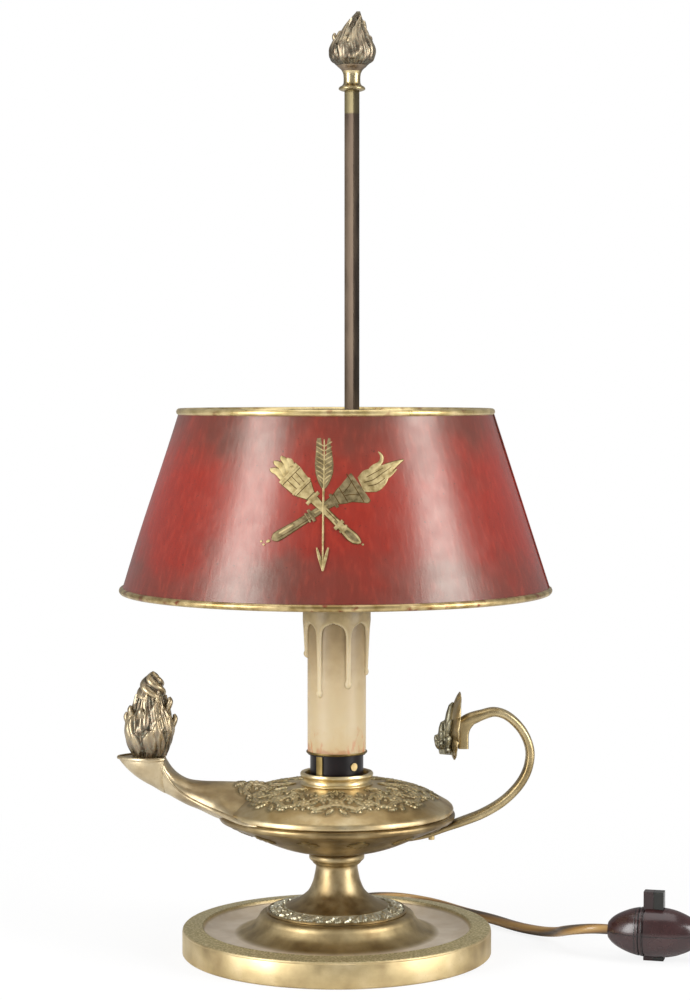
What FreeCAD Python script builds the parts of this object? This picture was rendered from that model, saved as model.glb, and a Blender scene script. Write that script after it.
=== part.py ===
# Bouillotte table lamp: a brass oil-lamp bowl on a dished foot, a candle tube, and a
# lacquered tin shade that slides on a square rod behind the candle.
# Millimetres, +Z up. The origin is the centre of the foot's underside. The spout
# points to -X and the handle to +X; -Y is the front.
import FreeCAD, Part
import math
import os

Vec = FreeCAD.Vector
UP = Vec(0, 0, 1)
ORIGIN = Vec(0, 0, 0)

# How far a cutting shape runs past what it cuts
OVER = 1.0

# Foot
BASE_R = 75.0
BASE_EDGE_H = 12.0
BASE_BEVEL = 0.5
BASE_RIM_H = 13.2
BASE_RIM_W = 9.5
DISH_Z = 9.6
DISH_LIP = ((1.5, 1.4), (5.5, 0.2), (13.0, 0.0))
SEAT_R = 34.5
SEAT_Z = 20.0
HUMP = ((10.5, -8.5), (4.5, -4.2), (1.5, -1.2), (0.0, 0.0))
PLATE_T = 2.8
SKIRT_T = 5.5
UNDER_HUMP_IN = 1.7
COVER_T = 1.6
COVER_LEDGE = 3.0
COVER_GAP = 0.3

# Stem
STEM_FOOT_R = 33.5
STEM_FOOT_EDGE = 0.4
LEAF_BAND_IN_R = 24.5
LEAF_BAND_RISE = 2.3
STEM_NECK_R = 10.0
STEM_TOP_R = 10.6
STEM_H = 23.5
STEM_CURVE = ((10.0, 4.8), (3.7, 9.7), (1.5, 15.0), (0.0, 21.6))
KNOP_R = 13.4
KNOP_H = 6.1
KNOP_WIDE_H = 3.4
KNOP_SEAT_R = 11.2

# Bowl
BOWL_R = 57.0
BOWL_WALL = 2.0
BOWL_LOW_EDGE_H = 16.6
BOWL_SPLIT_H = 19.9
BOWL_TOP_EDGE_H = 22.1
BOWL_LOW_CURVE = ((19.8, 1.1), (27.0, 3.0), (33.0, 5.1), (41.0, 9.0), (50.5, 13.0))
BOWL_TOP_H = 32.6
BOWL_FLAT_R = 18.5
BOWL_TOP_CURVE = ((29.3, -0.6), (39.0, -2.6), (45.8, -5.0), (53.0, -8.2))

# Hollow threaded tube that clamps foot, stem, bowl and cup together
TIE_R = 5.0
TIE_BORE_R = 3.4
TIE_GAP = 0.05
TIE_NUT_AF = 14.0
TIE_NUT_H = 3.0
WASHER_R = 8.5
WASHER_T = 1.2
TIE_TAIL = 1.8
TIE_ABOVE_CUP = 6.8

# Candle cup
CUP_R = 17.5
CUP_FOOT_R = 17.4
CUP_WAIST_R = 16.6
CUP_BORE_R = 14.9
CUP_H = 6.0
CUP_FLOOR = 1.4
CUP_FOOT_H = 1.2
CUP_WAIST_H = 2.4
CUP_LIP_H = 3.8

# Lampholder and candle tube
YOKE_W = 3.4
YOKE_T = 0.8
YOKE_AZ = 232.0
LOCK_NUT_H = 2.2
HOLDER_R = 12.9
HOLDER_LEDGE_R = 14.0
HOLDER_LEDGE_T = 1.2
HOLDER_FOOT_H = 11.6
HOLDER_H = 82.0
HOLDER_CAVITY_R = 10.5
HOLDER_BASE_T = 4.2
SHELL_R = 7.9
SHELL_T = 0.6
SHELL_H = 24.5
SHELL_GAP = 0.1
HOLDER_WEB_T = 3.0
WEB_BELOW_SHELL = 2.6
CONTACT_T = 0.6
CONTACT_L = 11.0
CONTACT_W = 4.0
CONTACT_R = 1.5
CONTACT_H = 3.6
TERMINAL_R = 1.9
TERMINAL_H = 5.4
TERMINAL_AZ = 309.0
TERMINAL_OUT = 0.6
TERMINAL_IN = 1.2
SLEEVE_R = 14.15
SLEEVE_GAP = 0.15
SLEEVE_H = 76.0
SLEEVE_LIP_R = 14.9
SLEEVE_LIP_EDGE = 0.8
SLEEVE_LIP_H = 1.3
DRIP_CAP_R = 15.1
DRIP_CAP_H = 9.0
DRIP_CAP_SLOPE = 1.5
DRIP_CAP_ROUND = 2.0
DRIP_R = 1.7
DRIP_SINK = 0.3
DRIPS = ((238.0, 48.0), (283.0, 44.0), (198.0, 28.0), (345.0, 37.0), (20.0, 40.0), (80.0, 30.0),
         (140.0, 46.0))

# Bulb with an E14 cap
CAP_R = 6.9
CAP_H = 23.0
CAP_FOOT_R = 4.8
CAP_TAPER_H = 2.0
CAP_TIP_R = 2.4
CAP_TIP_H = 2.0
CAP_GAP = 0.3
GLASS_T = 0.8
GLASS_CURVE = ((6.4, 0.0), (9.6, 7.0), (14.2, 17.0), (17.0, 30.0), (15.6, 43.0), (11.0, 56.0),
               (5.6, 67.0), (1.8, 73.5))
GLASS_TOP = 75.5
STEM_GLASS_R = 3.0
STEM_GLASS_H = 16.0
FILAMENT_R = 0.5
FILAMENT_H = 30.0

# Square rod and what slides on it
ROD_X = 7.4
ROD_Y = 22.0
ROD_SIDE = 5.5
ROD_TURN = -33.0
ROD_FOOT_H = 1.8
ROD_LEN = 334.4
ROD_SPIGOT_R = 2.4
ROD_SPIGOT_H = 9.6
ROD_STUD_R = 2.0
ROD_STUD_H = 8.5
FERRULE_R = 5.2
ROD_NUT_AF = 8.0
ROD_NUT_TAIL = 0.6
SLIDE_GAP = 0.08

# Shade
SHADE_X = -0.5
SHADE_LOW_R = 103.05
SHADE_TOP_R = 75.35
SHADE_LOW_Z = 177.0
SHADE_H = 85.7
TIN_T = 0.6
BEAD_R = 1.55
BAR_DROP = 6.7
BAR_T = 2.0
BAR_W = 8.0
BAR_HUB_R = 7.5
BAR_TAB_L = 11.0
BAR_TAB_T = 1.2
RIVET_R = 1.3
RIVET_HEAD_R = 2.4
RIVET_HEAD_T = 0.9
RIVET_DROP = 7.0
COLLAR_WALL = 1.8
COLLAR_H = 18.0
COLLAR_ABOVE_BAR = 5.0
BOSS_R = 3.4
BOSS_L = 3.6
THUMB_DROP = 6.5
THUMB_R = 1.6
THUMB_GAP = 0.08
THUMB_TIP_GAP = 0.15
THUMB_NECK = 0.6
THUMB_HEAD_R = 3.6
THUMB_HEAD_L = 3.0
WING_L = 7.5
WING_W = 13.0
WING_T = 2.2
WING_LOW = 5.0
WING_OUT = 2.0

# Finial
FINIAL_GAP = 0.3
FINIAL_BORE_GAP = 0.08
FINIAL_FOOT_R = 5.2
FINIAL_COLLAR_R = 6.5
FINIAL_COLLAR_H = 1.4
FINIAL_NECK = ((5.2, 3.2), (4.5, 6.0), (5.0, 9.3))
FINIAL_BORE_MORE = 0.6
FINIAL_SOCKET_H = 12.3
FINIAL_TOP_R = 8.0
FINIAL_PEG_R = 2.4
FINIAL_PEG_H = 2.6
FINIAL_FLAME = ((8.0, 0.0, 0.0), (11.2, 3.0, 0.2), (11.9, 6.6, 0.2), (11.2, 10.4, 0.4), (8.6, 14.2, 0.6),
                (5.0, 18.2, 1.0), (3.1, 22.0, 2.0), (1.2, 26.2, 3.2))

# Spout neck: distance out, top, underside and half width of each upright section
SPOUT_NECK = ((-30.0, 81.4, 58.0, 26.0), (-44.0, 82.8, 60.2, 21.5), (-56.0, 83.4, 64.9, 16.5),
              (-66.0, 83.6, 69.4, 11.8), (-72.0, 84.3, 72.0, 9.2), (-77.0, 87.0, 74.4, 8.0),
              (-80.6, 90.6, 76.4, 8.0), (-84.5, 95.5, 78.2, 8.6))
# Spout mouth: distance out, underside and half width below its flat top
SPOUT_MOUTH = ((-84.5, 78.2, 8.6), (-90.0, 81.9, 10.9), (-96.0, 85.4, 10.4), (-101.5, 89.6, 6.8),
               (-105.9, 94.7, 0.9))
SPOUT_TOP_Z = 95.5
SPOUT_WALL = 2.4
SPOUT_SIDES = 16

# Flame on the spout: radius, height, sideways lean
SPOUT_FLAME_X = -90.8
SPOUT_FLAME = ((9.0, 0.0, 0.0), (10.9, 5.6, -0.3), (12.6, 14.6, -0.2), (11.3, 23.4, 0.1), (8.5, 29.4, 2.4),
               (6.2, 32.4, 1.8), (4.6, 35.4, 1.1), (3.2, 38.4, 1.2), (1.4, 42.0, 1.8))
FLAME_LOBES = 6
FLAME_LOBE_DEPTH = 0.09
FLAME_TWIST = 1.1
FLAME_PEG_R = 2.2
FLAME_PEG_DOWN = 7.0
FLAME_PEG_UP = 8.0

# Handle strap, along its middle line from the rosette to under the bowl
HANDLE_LINE = ((61.0, 112.0), (68.0, 114.6), (75.8, 117.4), (84.6, 113.8), (91.8, 105.4), (93.6, 96.0),
               (91.6, 87.0), (86.6, 79.4), (79.0, 72.4), (69.0, 67.0), (57.0, 62.6), (44.0, 57.9),
               (30.0, 54.6))
HANDLE_T = 4.4
HANDLE_W = 8.8
HANDLE_STEPS = 36
HANDLE_BLOCK = ((59.8, 99.7), (64.1, 100.1), (65.0, 104.6), (67.0, 109.8), (70.2, 113.4), (66.0, 116.6),
                (59.8, 116.6))
HANDLE_RIVET_X = (35.0, 46.0)
HANDLE_RIVET_R = 1.5
HANDLE_RIVET_HEAD_R = 3.0
HANDLE_RIVET_HEAD_H = 1.6
HANDLE_RIVET_SINK = 0.6
HANDLE_RIVET_LOW = 55.0

# Rosette at the handle's end
ROSETTE_X = 57.4
ROSETTE_Z = 110.4
ROSETTE_TILT = 4.7
ROSETTE_R = 16.4
ROSETTE_T = 1.8
ROSETTE_LOBES = 8
ROSETTE_LOBE_DEPTH = 0.07
FLOWER = ((11.6, 0.0, -1.0), (10.4, 2.4, -1.4), (7.6, 5.2, -2.4), (3.4, 8.2, -3.6))
FLOWER_LOBES = 6
FLOWER_LOBE_DEPTH = 0.12
ROSETTE_STUD_R = 1.6
ROSETTE_STUD_IN = 4.6
ROSETTE_STUD_OUT = 1.6

# Flexible cord, its grommet in the foot, the switch on it and the plug
CORD_D = 5.0
CORD_AZ = 84.0
CORD_Z = 5.8
GROMMET_R = 3.95
GROMMET_HOLE_GAP = 0.05
GROMMET_BORE_R = 2.1
GROMMET_IN = 1.0
GROMMET_FLANGE_R = 5.2
GROMMET_FLANGE_T = 2.0
GROMMET_FLANGE_IN = 0.5
GROMMET_ROOT_R = 4.6
GROMMET_TIP_R = 3.2
GROMMET_L = 12.0
WIRE_R = 0.85
WIRE_APART = 2.0
WIRE_BEND_R = 8.0
WIRE_END_GAP = 0.4

SWITCH_X = 152.2
SWITCH_Y = -17.5
SWITCH_Z = 13.6
SWITCH_AZ = -15.0
SWITCH_HALF = 22.0
SWITCH_CURVE = ((3.9, 22.0), (6.6, 19.4), (9.0, 15.2), (11.0, 9.6), (11.85, 4.0), (12.0, 0.0))
SWITCH_SPLIT = -6.4
SWITCH_GROOVE_W = 0.7
SWITCH_GROOVE_D = 0.85
SWITCH_GROOVE_STEP = 2.2
SWITCH_CAVITY_R = 8.2
SWITCH_CAVITY_HALF = 12.5
SWITCH_BORE_R = 2.1
PUSH_W = 9.6
PUSH_D = 6.0
PUSH_TOP = 33.4
PUSH_FOOT = 0.3
PUSH_GAP = 0.3
STRIP_T = 0.7
STRIP_L = 14.0
STRIP_H = 8.0
STRIP_CLEAR = 0.4

# Route of the cord from the grommet to the switch; the ends come from the pieces there
LEAD = ((9.6, 91.2, 5.8), (14.8, 99.2, 5.2), (23.0, 104.1, 4.7), (32.5, 104.7, 4.3), (41.3, 100.4, 4.0),
        (53.5, 89.5, 3.8), (66.0, 71.0, 3.5), (79.5, 57.5, 3.2), (90.5, 41.2, 2.8), (102.0, 28.8, 3.2),
        (108.8, 17.1, 5.6), (111.3, 5.4, 9.0), (116.5, -4.3, 11.9), (124.1, -10.0, 13.6))
# Route from the switch to the coil
TAIL = ((179.4, -24.8, 13.2), (187.6, -28.4, 9.7), (197.0, -34.9, 4.0))
# Route from the coil to the plug
END = ((251.8, 6.2, 20.4), (252.6, 14.6, 18.2), (253.7, 23.6, 15.0))

COIL_X = 219.0
COIL_Y = -6.0
COIL_Z = 3.7
COIL_OUT_R = 32.6
COIL_PITCH = 5.6
COIL_LAYER = 5.6
COIL_LAYERS = 4
COIL_TURNS = 8
COIL_START_AZ = 260.0
COIL_END_AZ = 0.0
COIL_PIECES_PER_TURN = 4
TIE_BAND_AZ = 150.0
TIE_BAND_W = 6.0
TIE_BAND_T = 1.0
TIE_BAND_GAP = 0.6
TIE_BAND_LOW_GAP = 0.2
TIE_BAND_TURNS = 3

PLUG_Z = 14.3
PLUG_R = 14.0
PLUG_L = 34.0
PLUG_FACE_L = 8.0
PLUG_TAIL_R = 4.2
PLUG_CURVE = ((6.4, 10.4), (11.5, 19.5))
PLUG_X = 254.0
PLUG_BACK_Y = 32.0
PIN_R = 2.0
PIN_L = 19.0
PIN_APART = 19.0
PIN_IN = 6.0
PIN_ROOT_R = 1.6

# Heights and places that follow from the sizes above
KNOP_Z = SEAT_Z + STEM_H
BOWL_Z = KNOP_Z + KNOP_H
CUP_Z = BOWL_Z + BOWL_TOP_H
YOKE_Z = CUP_Z + CUP_FLOOR
LOCK_NUT_Z = YOKE_Z + YOKE_T
HOLDER_Z = LOCK_NUT_Z + LOCK_NUT_H
SLEEVE_Z = HOLDER_Z + HOLDER_FOOT_H
HOLDER_TOP = HOLDER_Z + HOLDER_H
WEB_TOP = HOLDER_TOP - SHELL_H - WEB_BELOW_SHELL
CONTACT_TOP = WEB_TOP + CONTACT_T + CONTACT_H
CAP_TIP_Z = CONTACT_TOP + CAP_GAP
CAP_Z = CAP_TIP_Z + CAP_TIP_H
GLASS_Z = CAP_Z + CAP_H
ROD_Z = CUP_Z + ROD_FOOT_H
ROD_TOP = ROD_Z + ROD_LEN
SHADE_TOP_Z = SHADE_LOW_Z + SHADE_H
BAR_TOP = SHADE_TOP_Z - BAR_DROP
COLLAR_TOP = BAR_TOP + COLLAR_ABOVE_BAR
THUMB_Z = BAR_TOP - BAR_T - THUMB_DROP
COLLAR_HALF = ROD_SIDE / 2 + SLIDE_GAP + COLLAR_WALL
FINIAL_Z = ROD_TOP + FINIAL_GAP
FINIAL_FLAME_Z = FINIAL_Z + FINIAL_SOCKET_H


def save(shape, node):
    """Write one node's STEP file."""
    shape.exportStep(os.path.join("parts", node + ".step"))


def in_plane(pair):
    """A (radius, height) pair as a point in the X-Z plane."""
    return Vec(pair[0], 0, pair[1])


def outline(stretches):
    """A closed wire: two points make a line, more make a smooth curve through them."""
    edges = []
    for stretch in stretches:
        points = [in_plane(pair) for pair in stretch]
        if len(points) == 2:
            edges.append(Part.LineSegment(points[0], points[1]).toShape())
        else:
            curve = Part.BSplineCurve()
            curve.interpolate(points)
            edges.append(curve.toShape())
    return Part.Wire(edges)


def turned(stretches):
    """A solid turned about Z from a closed outline of stretches."""
    return Part.Face(outline(stretches)).revolve(ORIGIN, UP, 360)


def joined_lines(points):
    """Straight stretches from each point to the next."""
    return [[points[i], points[i + 1]] for i in range(len(points) - 1)]


def shifted(pairs, dr, dz):
    return [(pair[0] + dr, pair[1] + dz) for pair in pairs]


def inset(pairs, wall):
    """The same curve moved square to itself, to the left of its direction, by the wall."""
    moved = []
    for i, pair in enumerate(pairs):
        before = pairs[max(i - 1, 0)]
        after = pairs[min(i + 1, len(pairs) - 1)]
        dr = after[0] - before[0]
        dz = after[1] - before[1]
        size = math.hypot(dr, dz)
        moved.append((pair[0] - wall * dz / size, pair[1] + wall * dr / size))
    return moved


def rod(radius, z_low, z_high, x=0.0, y=0.0):
    """An upright cylinder."""
    return Part.makeCylinder(radius, z_high - z_low, Vec(x, y, z_low), UP)


def tube(r_out, r_in, z_low, z_high):
    return rod(r_out, z_low, z_high).cut(rod(r_in, z_low - OVER, z_high + OVER))


def hexagon(across_flats, z_low, z_high, x=0.0, y=0.0):
    """A six-sided upright prism."""
    corner_r = across_flats / math.sqrt(3)
    corners = [Vec(x + corner_r * math.cos(math.radians(60 * i)), y + corner_r * math.sin(math.radians(60 * i)),
                   z_low) for i in range(6)]
    face = Part.Face(Part.makePolygon(corners + corners[:1]))
    return face.extrude(Vec(0, 0, z_high - z_low))


def brick(x_size, y_size, z_low, z_high, x=0.0, y=0.0):
    """An upright block centred on x, y."""
    return Part.makeBox(x_size, y_size, z_high - z_low, Vec(x - x_size / 2, y - y_size / 2, z_low))


def spun(shape, degrees, x=0.0, y=0.0):
    """A copy turned about an upright axis."""
    copy = shape.copy()
    copy.rotate(Vec(x, y, 0), UP, degrees)
    return copy


def laid(shape, at, direction):
    """A copy of a shape made along +Z from the origin, laid along a direction from a point."""
    copy = shape.copy()
    turn = FreeCAD.Rotation(UP, direction)
    copy.Placement = FreeCAD.Placement(at, turn).multiply(copy.Placement)
    return copy


def lobed_wire(radius, height, lean_x, lobes, depth, phase, lean_y=0.0):
    """A closed wavy ring, as wide as its radius at the lobes."""
    points = []
    count = lobes * 4
    for i in range(count):
        angle = 2 * math.pi * i / count
        wave = 1 - depth * (1 - math.cos(lobes * angle + phase))
        points.append(Vec(lean_x + radius * wave * math.cos(angle), lean_y + radius * wave * math.sin(angle), height))
    curve = Part.BSplineCurve()
    curve.interpolate(Points=points, PeriodicFlag=True)
    return Part.Wire([curve.toShape()])


def flame(rows):
    """A twisted, lobed flame from rows of radius, height and lean."""
    top = rows[-1][1]
    wires = []
    for radius, height, lean in rows:
        phase = FLAME_TWIST * 2 * math.pi * height / top
        wires.append(lobed_wire(radius, height, lean, FLAME_LOBES, FLAME_LOBE_DEPTH, phase))
    return Part.makeLoft(wires, True)


def move_to(shape, x, y, z):
    copy = shape.copy()
    copy.translate(Vec(x, y, z))
    return copy


# Foot, stem and bowl


def base_dish():
    """The dished foot: a rim ring, a shallow dish and a raised seat for the stem."""
    lip_r = BASE_R - BASE_RIM_W
    lip = [(lip_r, BASE_RIM_H)] + [(lip_r - dr, DISH_Z + dz) for dr, dz in DISH_LIP]
    hump = [lip[-1]] + shifted(HUMP, SEAT_R, SEAT_Z)
    bore = TIE_R + TIE_GAP
    ledge_r = BASE_R - SKIRT_T
    cover_r = ledge_r + COVER_LEDGE
    under_hump = shifted(hump[::-1], -UNDER_HUMP_IN, -PLATE_T)
    under_dish = [under_hump[-1], (ledge_r, DISH_Z - PLATE_T)]
    stretches = [[(BASE_R, 0), (BASE_R, BASE_EDGE_H)],
                 [(BASE_R, BASE_EDGE_H), (BASE_R - BASE_BEVEL, BASE_EDGE_H + BASE_BEVEL)],
                 [(BASE_R - BASE_BEVEL, BASE_EDGE_H + BASE_BEVEL), lip[0]],
                 lip,
                 hump,
                 [(SEAT_R, SEAT_Z), (bore, SEAT_Z)],
                 [(bore, SEAT_Z), (bore, SEAT_Z - PLATE_T)],
                 [(bore, SEAT_Z - PLATE_T), under_hump[0]],
                 under_hump,
                 under_dish]
    stretches += joined_lines([(ledge_r, DISH_Z - PLATE_T), (ledge_r, COVER_T), (cover_r, COVER_T), (cover_r, 0),
                               (BASE_R, 0)])
    hole = laid(Part.makeCylinder(GROMMET_R + GROMMET_HOLE_GAP, 2 * SKIRT_T), grommet_point(-2 * SKIRT_T + OVER),
                cord_direction())
    return turned(stretches).cut(hole)


def base_cover():
    """The felt-faced disc that closes the underside."""
    return rod(BASE_R - SKIRT_T + COVER_LEDGE - COVER_GAP, 0, COVER_T)


def stem():
    """The cone that rises from the leaf band to the knop."""
    bore = TIE_R + TIE_GAP
    band_in = (LEAF_BAND_IN_R, SEAT_Z + LEAF_BAND_RISE)
    curve = [band_in] + shifted(STEM_CURVE, STEM_NECK_R, SEAT_Z) + [(STEM_TOP_R, KNOP_Z)]
    stretches = [[(bore, SEAT_Z), (STEM_FOOT_R, SEAT_Z)],
                 [(STEM_FOOT_R, SEAT_Z), (STEM_FOOT_R, SEAT_Z + STEM_FOOT_EDGE)],
                 [(STEM_FOOT_R, SEAT_Z + STEM_FOOT_EDGE), band_in],
                 curve,
                 [(STEM_TOP_R, KNOP_Z), (bore, KNOP_Z)],
                 [(bore, KNOP_Z), (bore, SEAT_Z)]]
    return turned(stretches)


def stem_knop():
    """The rounded knop between stem and bowl."""
    bore = TIE_R + TIE_GAP
    curve = [(STEM_TOP_R, KNOP_Z), (KNOP_R, KNOP_Z + KNOP_WIDE_H), (KNOP_SEAT_R, BOWL_Z)]
    return turned([[(bore, KNOP_Z), (STEM_TOP_R, KNOP_Z)], curve, [(KNOP_SEAT_R, BOWL_Z), (bore, BOWL_Z)],
                   [(bore, BOWL_Z), (bore, KNOP_Z)]])


def bowl_low_line():
    """The bowl's outer curve from its seat to the lower edge of the rim."""
    return [(KNOP_SEAT_R, BOWL_Z)] + shifted(BOWL_LOW_CURVE, 0, BOWL_Z) + [(BOWL_R, BOWL_Z + BOWL_LOW_EDGE_H)]


def bowl_top_line():
    """The bowl's outer curve from the cup's seat to the upper edge of the rim."""
    return [(BOWL_FLAT_R, CUP_Z)] + shifted(BOWL_TOP_CURVE, 0, CUP_Z) + [(BOWL_R, BOWL_Z + BOWL_TOP_EDGE_H)]


def bowl_lower():
    bore = TIE_R + TIE_GAP
    line = bowl_low_line()
    inner = inset(line, BOWL_WALL)
    inner[-1] = (BOWL_R - BOWL_WALL, inner[-1][1])
    inner[0] = (inner[0][0], BOWL_Z + BOWL_WALL)
    split = BOWL_Z + BOWL_SPLIT_H
    stretches = [[(bore, BOWL_Z), line[0]], line, [line[-1], (BOWL_R, split)],
                 [(BOWL_R, split), (BOWL_R - BOWL_WALL, split)], [(BOWL_R - BOWL_WALL, split), inner[-1]],
                 inner[::-1], [inner[0], (bore, BOWL_Z + BOWL_WALL)], [(bore, BOWL_Z + BOWL_WALL), (bore, BOWL_Z)]]
    shell = turned(stretches)
    for x in HANDLE_RIVET_X:
        shell = shell.cut(rod(HANDLE_RIVET_R, HANDLE_RIVET_LOW, split, x))
    return shell


def bowl_upper():
    bore = TIE_R + TIE_GAP
    line = bowl_top_line()
    inner = inset(line[::-1], BOWL_WALL)[::-1]
    inner[-1] = (BOWL_R - BOWL_WALL, inner[-1][1])
    inner[0] = (inner[0][0], CUP_Z - BOWL_WALL)
    split = BOWL_Z + BOWL_SPLIT_H
    stretches = [[(bore, CUP_Z), line[0]], line, [line[-1], (BOWL_R, split)],
                 [(BOWL_R, split), (BOWL_R - BOWL_WALL, split)], [(BOWL_R - BOWL_WALL, split), inner[-1]],
                 inner[::-1], [inner[0], (bore, CUP_Z - BOWL_WALL)], [(bore, CUP_Z - BOWL_WALL), (bore, CUP_Z)]]
    hole = rod(ROD_SPIGOT_R + TIE_GAP, CUP_Z - 2 * BOWL_WALL, CUP_Z + BOWL_WALL, ROD_X, ROD_Y)
    return turned(stretches).cut(hole)


def bowl_filled():
    """The bowl's outer form with nothing hollow in it, for cutting what meets it."""
    low = bowl_low_line()
    top = bowl_top_line()
    return turned([[(0, BOWL_Z), low[0]], low, [low[-1], top[-1]], top[::-1], [top[0], (0, CUP_Z)],
                   [(0, CUP_Z), (0, BOWL_Z)]])


def tie_rod():
    low = SEAT_Z - PLATE_T - WASHER_T - TIE_NUT_H - TIE_TAIL
    return tube(TIE_R, TIE_BORE_R, low, CUP_Z + TIE_ABOVE_CUP)


def tie_washer():
    top = SEAT_Z - PLATE_T
    return tube(WASHER_R, TIE_R + TIE_GAP, top - WASHER_T, top)


def tie_nut():
    top = SEAT_Z - PLATE_T - WASHER_T
    return hexagon(TIE_NUT_AF, top - TIE_NUT_H, top).cut(rod(TIE_R + TIE_GAP, 0, SEAT_Z))


# Spout with its flame


def oval_wire(x, middle_z, half_high, half_width):
    """An upright oval section of the spout."""
    points = []
    for i in range(SPOUT_SIDES):
        angle = 2 * math.pi * i / SPOUT_SIDES
        points.append(Vec(x, half_width * math.sin(angle), middle_z + half_high * math.cos(angle)))
    curve = Part.BSplineCurve()
    curve.interpolate(Points=points, PeriodicFlag=True)
    return Part.Wire([curve.toShape()])


def spout_neck(rows, wall):
    wires = [oval_wire(x, (top + low) / 2, (top - low) / 2 - wall, wide - wall) for x, top, low, wide in rows]
    return Part.makeLoft(wires, True)


def spout(bowl):
    """The neck that grows out of the bowl, with a boat-shaped flat-topped mouth."""
    neck = spout_neck(SPOUT_NECK, 0).cut(bowl).cut(spout_neck(SPOUT_NECK[:-2], SPOUT_WALL))
    wires = [oval_wire(x, SPOUT_TOP_Z, SPOUT_TOP_Z - low, wide) for x, low, wide in SPOUT_MOUTH]
    above = brick(4 * BASE_R, 2 * BASE_R, SPOUT_TOP_Z, 2 * SPOUT_TOP_Z)
    mouth = Part.makeLoft(wires, True).cut(above)
    peg = rod(FLAME_PEG_R, SPOUT_TOP_Z - FLAME_PEG_DOWN, SPOUT_TOP_Z + OVER, SPOUT_FLAME_X)
    return largest(largest(neck).fuse(mouth).removeSplitter().cut(peg))


def largest(shape):
    """The biggest solid of a shape, where a cut leaves crumbs."""
    return max(shape.Solids, key=lambda solid: solid.Volume)


def spout_flame():
    body = move_to(flame(SPOUT_FLAME), SPOUT_FLAME_X, 0, SPOUT_TOP_Z)
    return body.cut(rod(FLAME_PEG_R, SPOUT_TOP_Z - OVER, SPOUT_TOP_Z + FLAME_PEG_UP, SPOUT_FLAME_X))


def flame_peg():
    return rod(FLAME_PEG_R, SPOUT_TOP_Z - FLAME_PEG_DOWN, SPOUT_TOP_Z + FLAME_PEG_UP, SPOUT_FLAME_X)


# Handle with its rosette


def handle_sides():
    """Points on both sides of the strap's middle line."""
    line = Part.BSplineCurve()
    line.interpolate([in_plane(pair) for pair in HANDLE_LINE])
    first, last = line.FirstParameter, line.LastParameter
    outer = []
    inner = []
    for i in range(HANDLE_STEPS + 1):
        at = first + (last - first) * i / HANDLE_STEPS
        point = line.value(at)
        along = line.tangent(at)[0]
        side = Vec(-along.z, 0, along.x) * (HANDLE_T / 2)
        outer.append(point + side)
        inner.append(point - side)
    return outer, inner


def handle_strap(bowl):
    outer, inner = handle_sides()
    curves = []
    for points in (outer, inner[::-1]):
        curve = Part.BSplineCurve()
        curve.interpolate(points)
        curves.append(curve.toShape())
    closing = [Part.LineSegment(outer[-1], inner[-1]).toShape(), Part.LineSegment(inner[0], outer[0]).toShape()]
    face = Part.Face(Part.Wire([curves[0], closing[0], curves[1], closing[1]]))
    strap = move_to(face.extrude(Vec(0, HANDLE_W, 0)), 0, -HANDLE_W / 2, 0)
    corners = [in_plane(pair) for pair in HANDLE_BLOCK]
    block = Part.Face(Part.makePolygon(corners + corners[:1])).extrude(Vec(0, HANDLE_W, 0))
    whole = strap.fuse(move_to(block, 0, -HANDLE_W / 2, 0)).removeSplitter()
    behind = laid(Part.makeCylinder(2 * ROSETTE_R, 2 * ROSETTE_R), rosette_point(0), rosette_normal())
    stud = rosette_stud()
    whole = whole.cut(bowl).cut(behind).cut(stud)
    for x in HANDLE_RIVET_X:
        whole = whole.cut(rod(HANDLE_RIVET_R, HANDLE_RIVET_LOW, BOWL_Z + BOWL_SPLIT_H, x))
    return largest(whole)


def handle_rivets(shell):
    """Two rivets that hold the strap to the bowl, their heads inside it."""
    rivets = []
    for x in HANDLE_RIVET_X:
        floor = inner_height(x)
        shank = rod(HANDLE_RIVET_R, HANDLE_RIVET_LOW, floor, x)
        head = rod(HANDLE_RIVET_HEAD_R, floor - HANDLE_RIVET_SINK, floor + HANDLE_RIVET_HEAD_H, x).cut(shell)
        rivets.append(largest(head.fuse(shank)))
    return Part.makeCompound(rivets)


def inner_height(x):
    """The height of the lower bowl's inside at a distance from the axis."""
    line = inset(bowl_low_line(), BOWL_WALL)
    for low, high in zip(line, line[1:]):
        if low[0] <= x <= high[0]:
            return low[1] + (high[1] - low[1]) * (x - low[0]) / (high[0] - low[0])
    return line[-1][1]


def rosette_normal():
    tilt = math.radians(ROSETTE_TILT)
    return Vec(-math.cos(tilt), 0, math.sin(tilt))


def rosette_point(out):
    """A point on the rosette's axis, out from the back of its plate."""
    return Vec(ROSETTE_X, 0, ROSETTE_Z) + rosette_normal() * out


def facing_out(shape):
    """A shape made upwards in the X-Y plane, set square on the rosette's axis."""
    copy = shape.copy()
    copy.rotate(ORIGIN, Vec(0, 1, 0), -90 + ROSETTE_TILT)
    copy.translate(Vec(ROSETTE_X, 0, ROSETTE_Z))
    return copy


def rosette_stud():
    length = ROSETTE_STUD_IN + ROSETTE_T + ROSETTE_STUD_OUT
    return laid(Part.makeCylinder(ROSETTE_STUD_R, length), rosette_point(-ROSETTE_STUD_IN), rosette_normal())


def rosette_plate():
    wire = lobed_wire(ROSETTE_R, 0, 0, ROSETTE_LOBES, ROSETTE_LOBE_DEPTH, 0)
    return facing_out(Part.Face(wire).extrude(Vec(0, 0, ROSETTE_T))).cut(rosette_stud())


def rosette_flower():
    wires = []
    for radius, height, drop in FLOWER:
        wires.append(lobed_wire(radius, ROSETTE_T + height, drop, FLOWER_LOBES, FLOWER_LOBE_DEPTH, 0))
    return facing_out(Part.makeLoft(wires, True)).cut(rosette_stud())


# Candle cup, lampholder, candle tube and bulb


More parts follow.
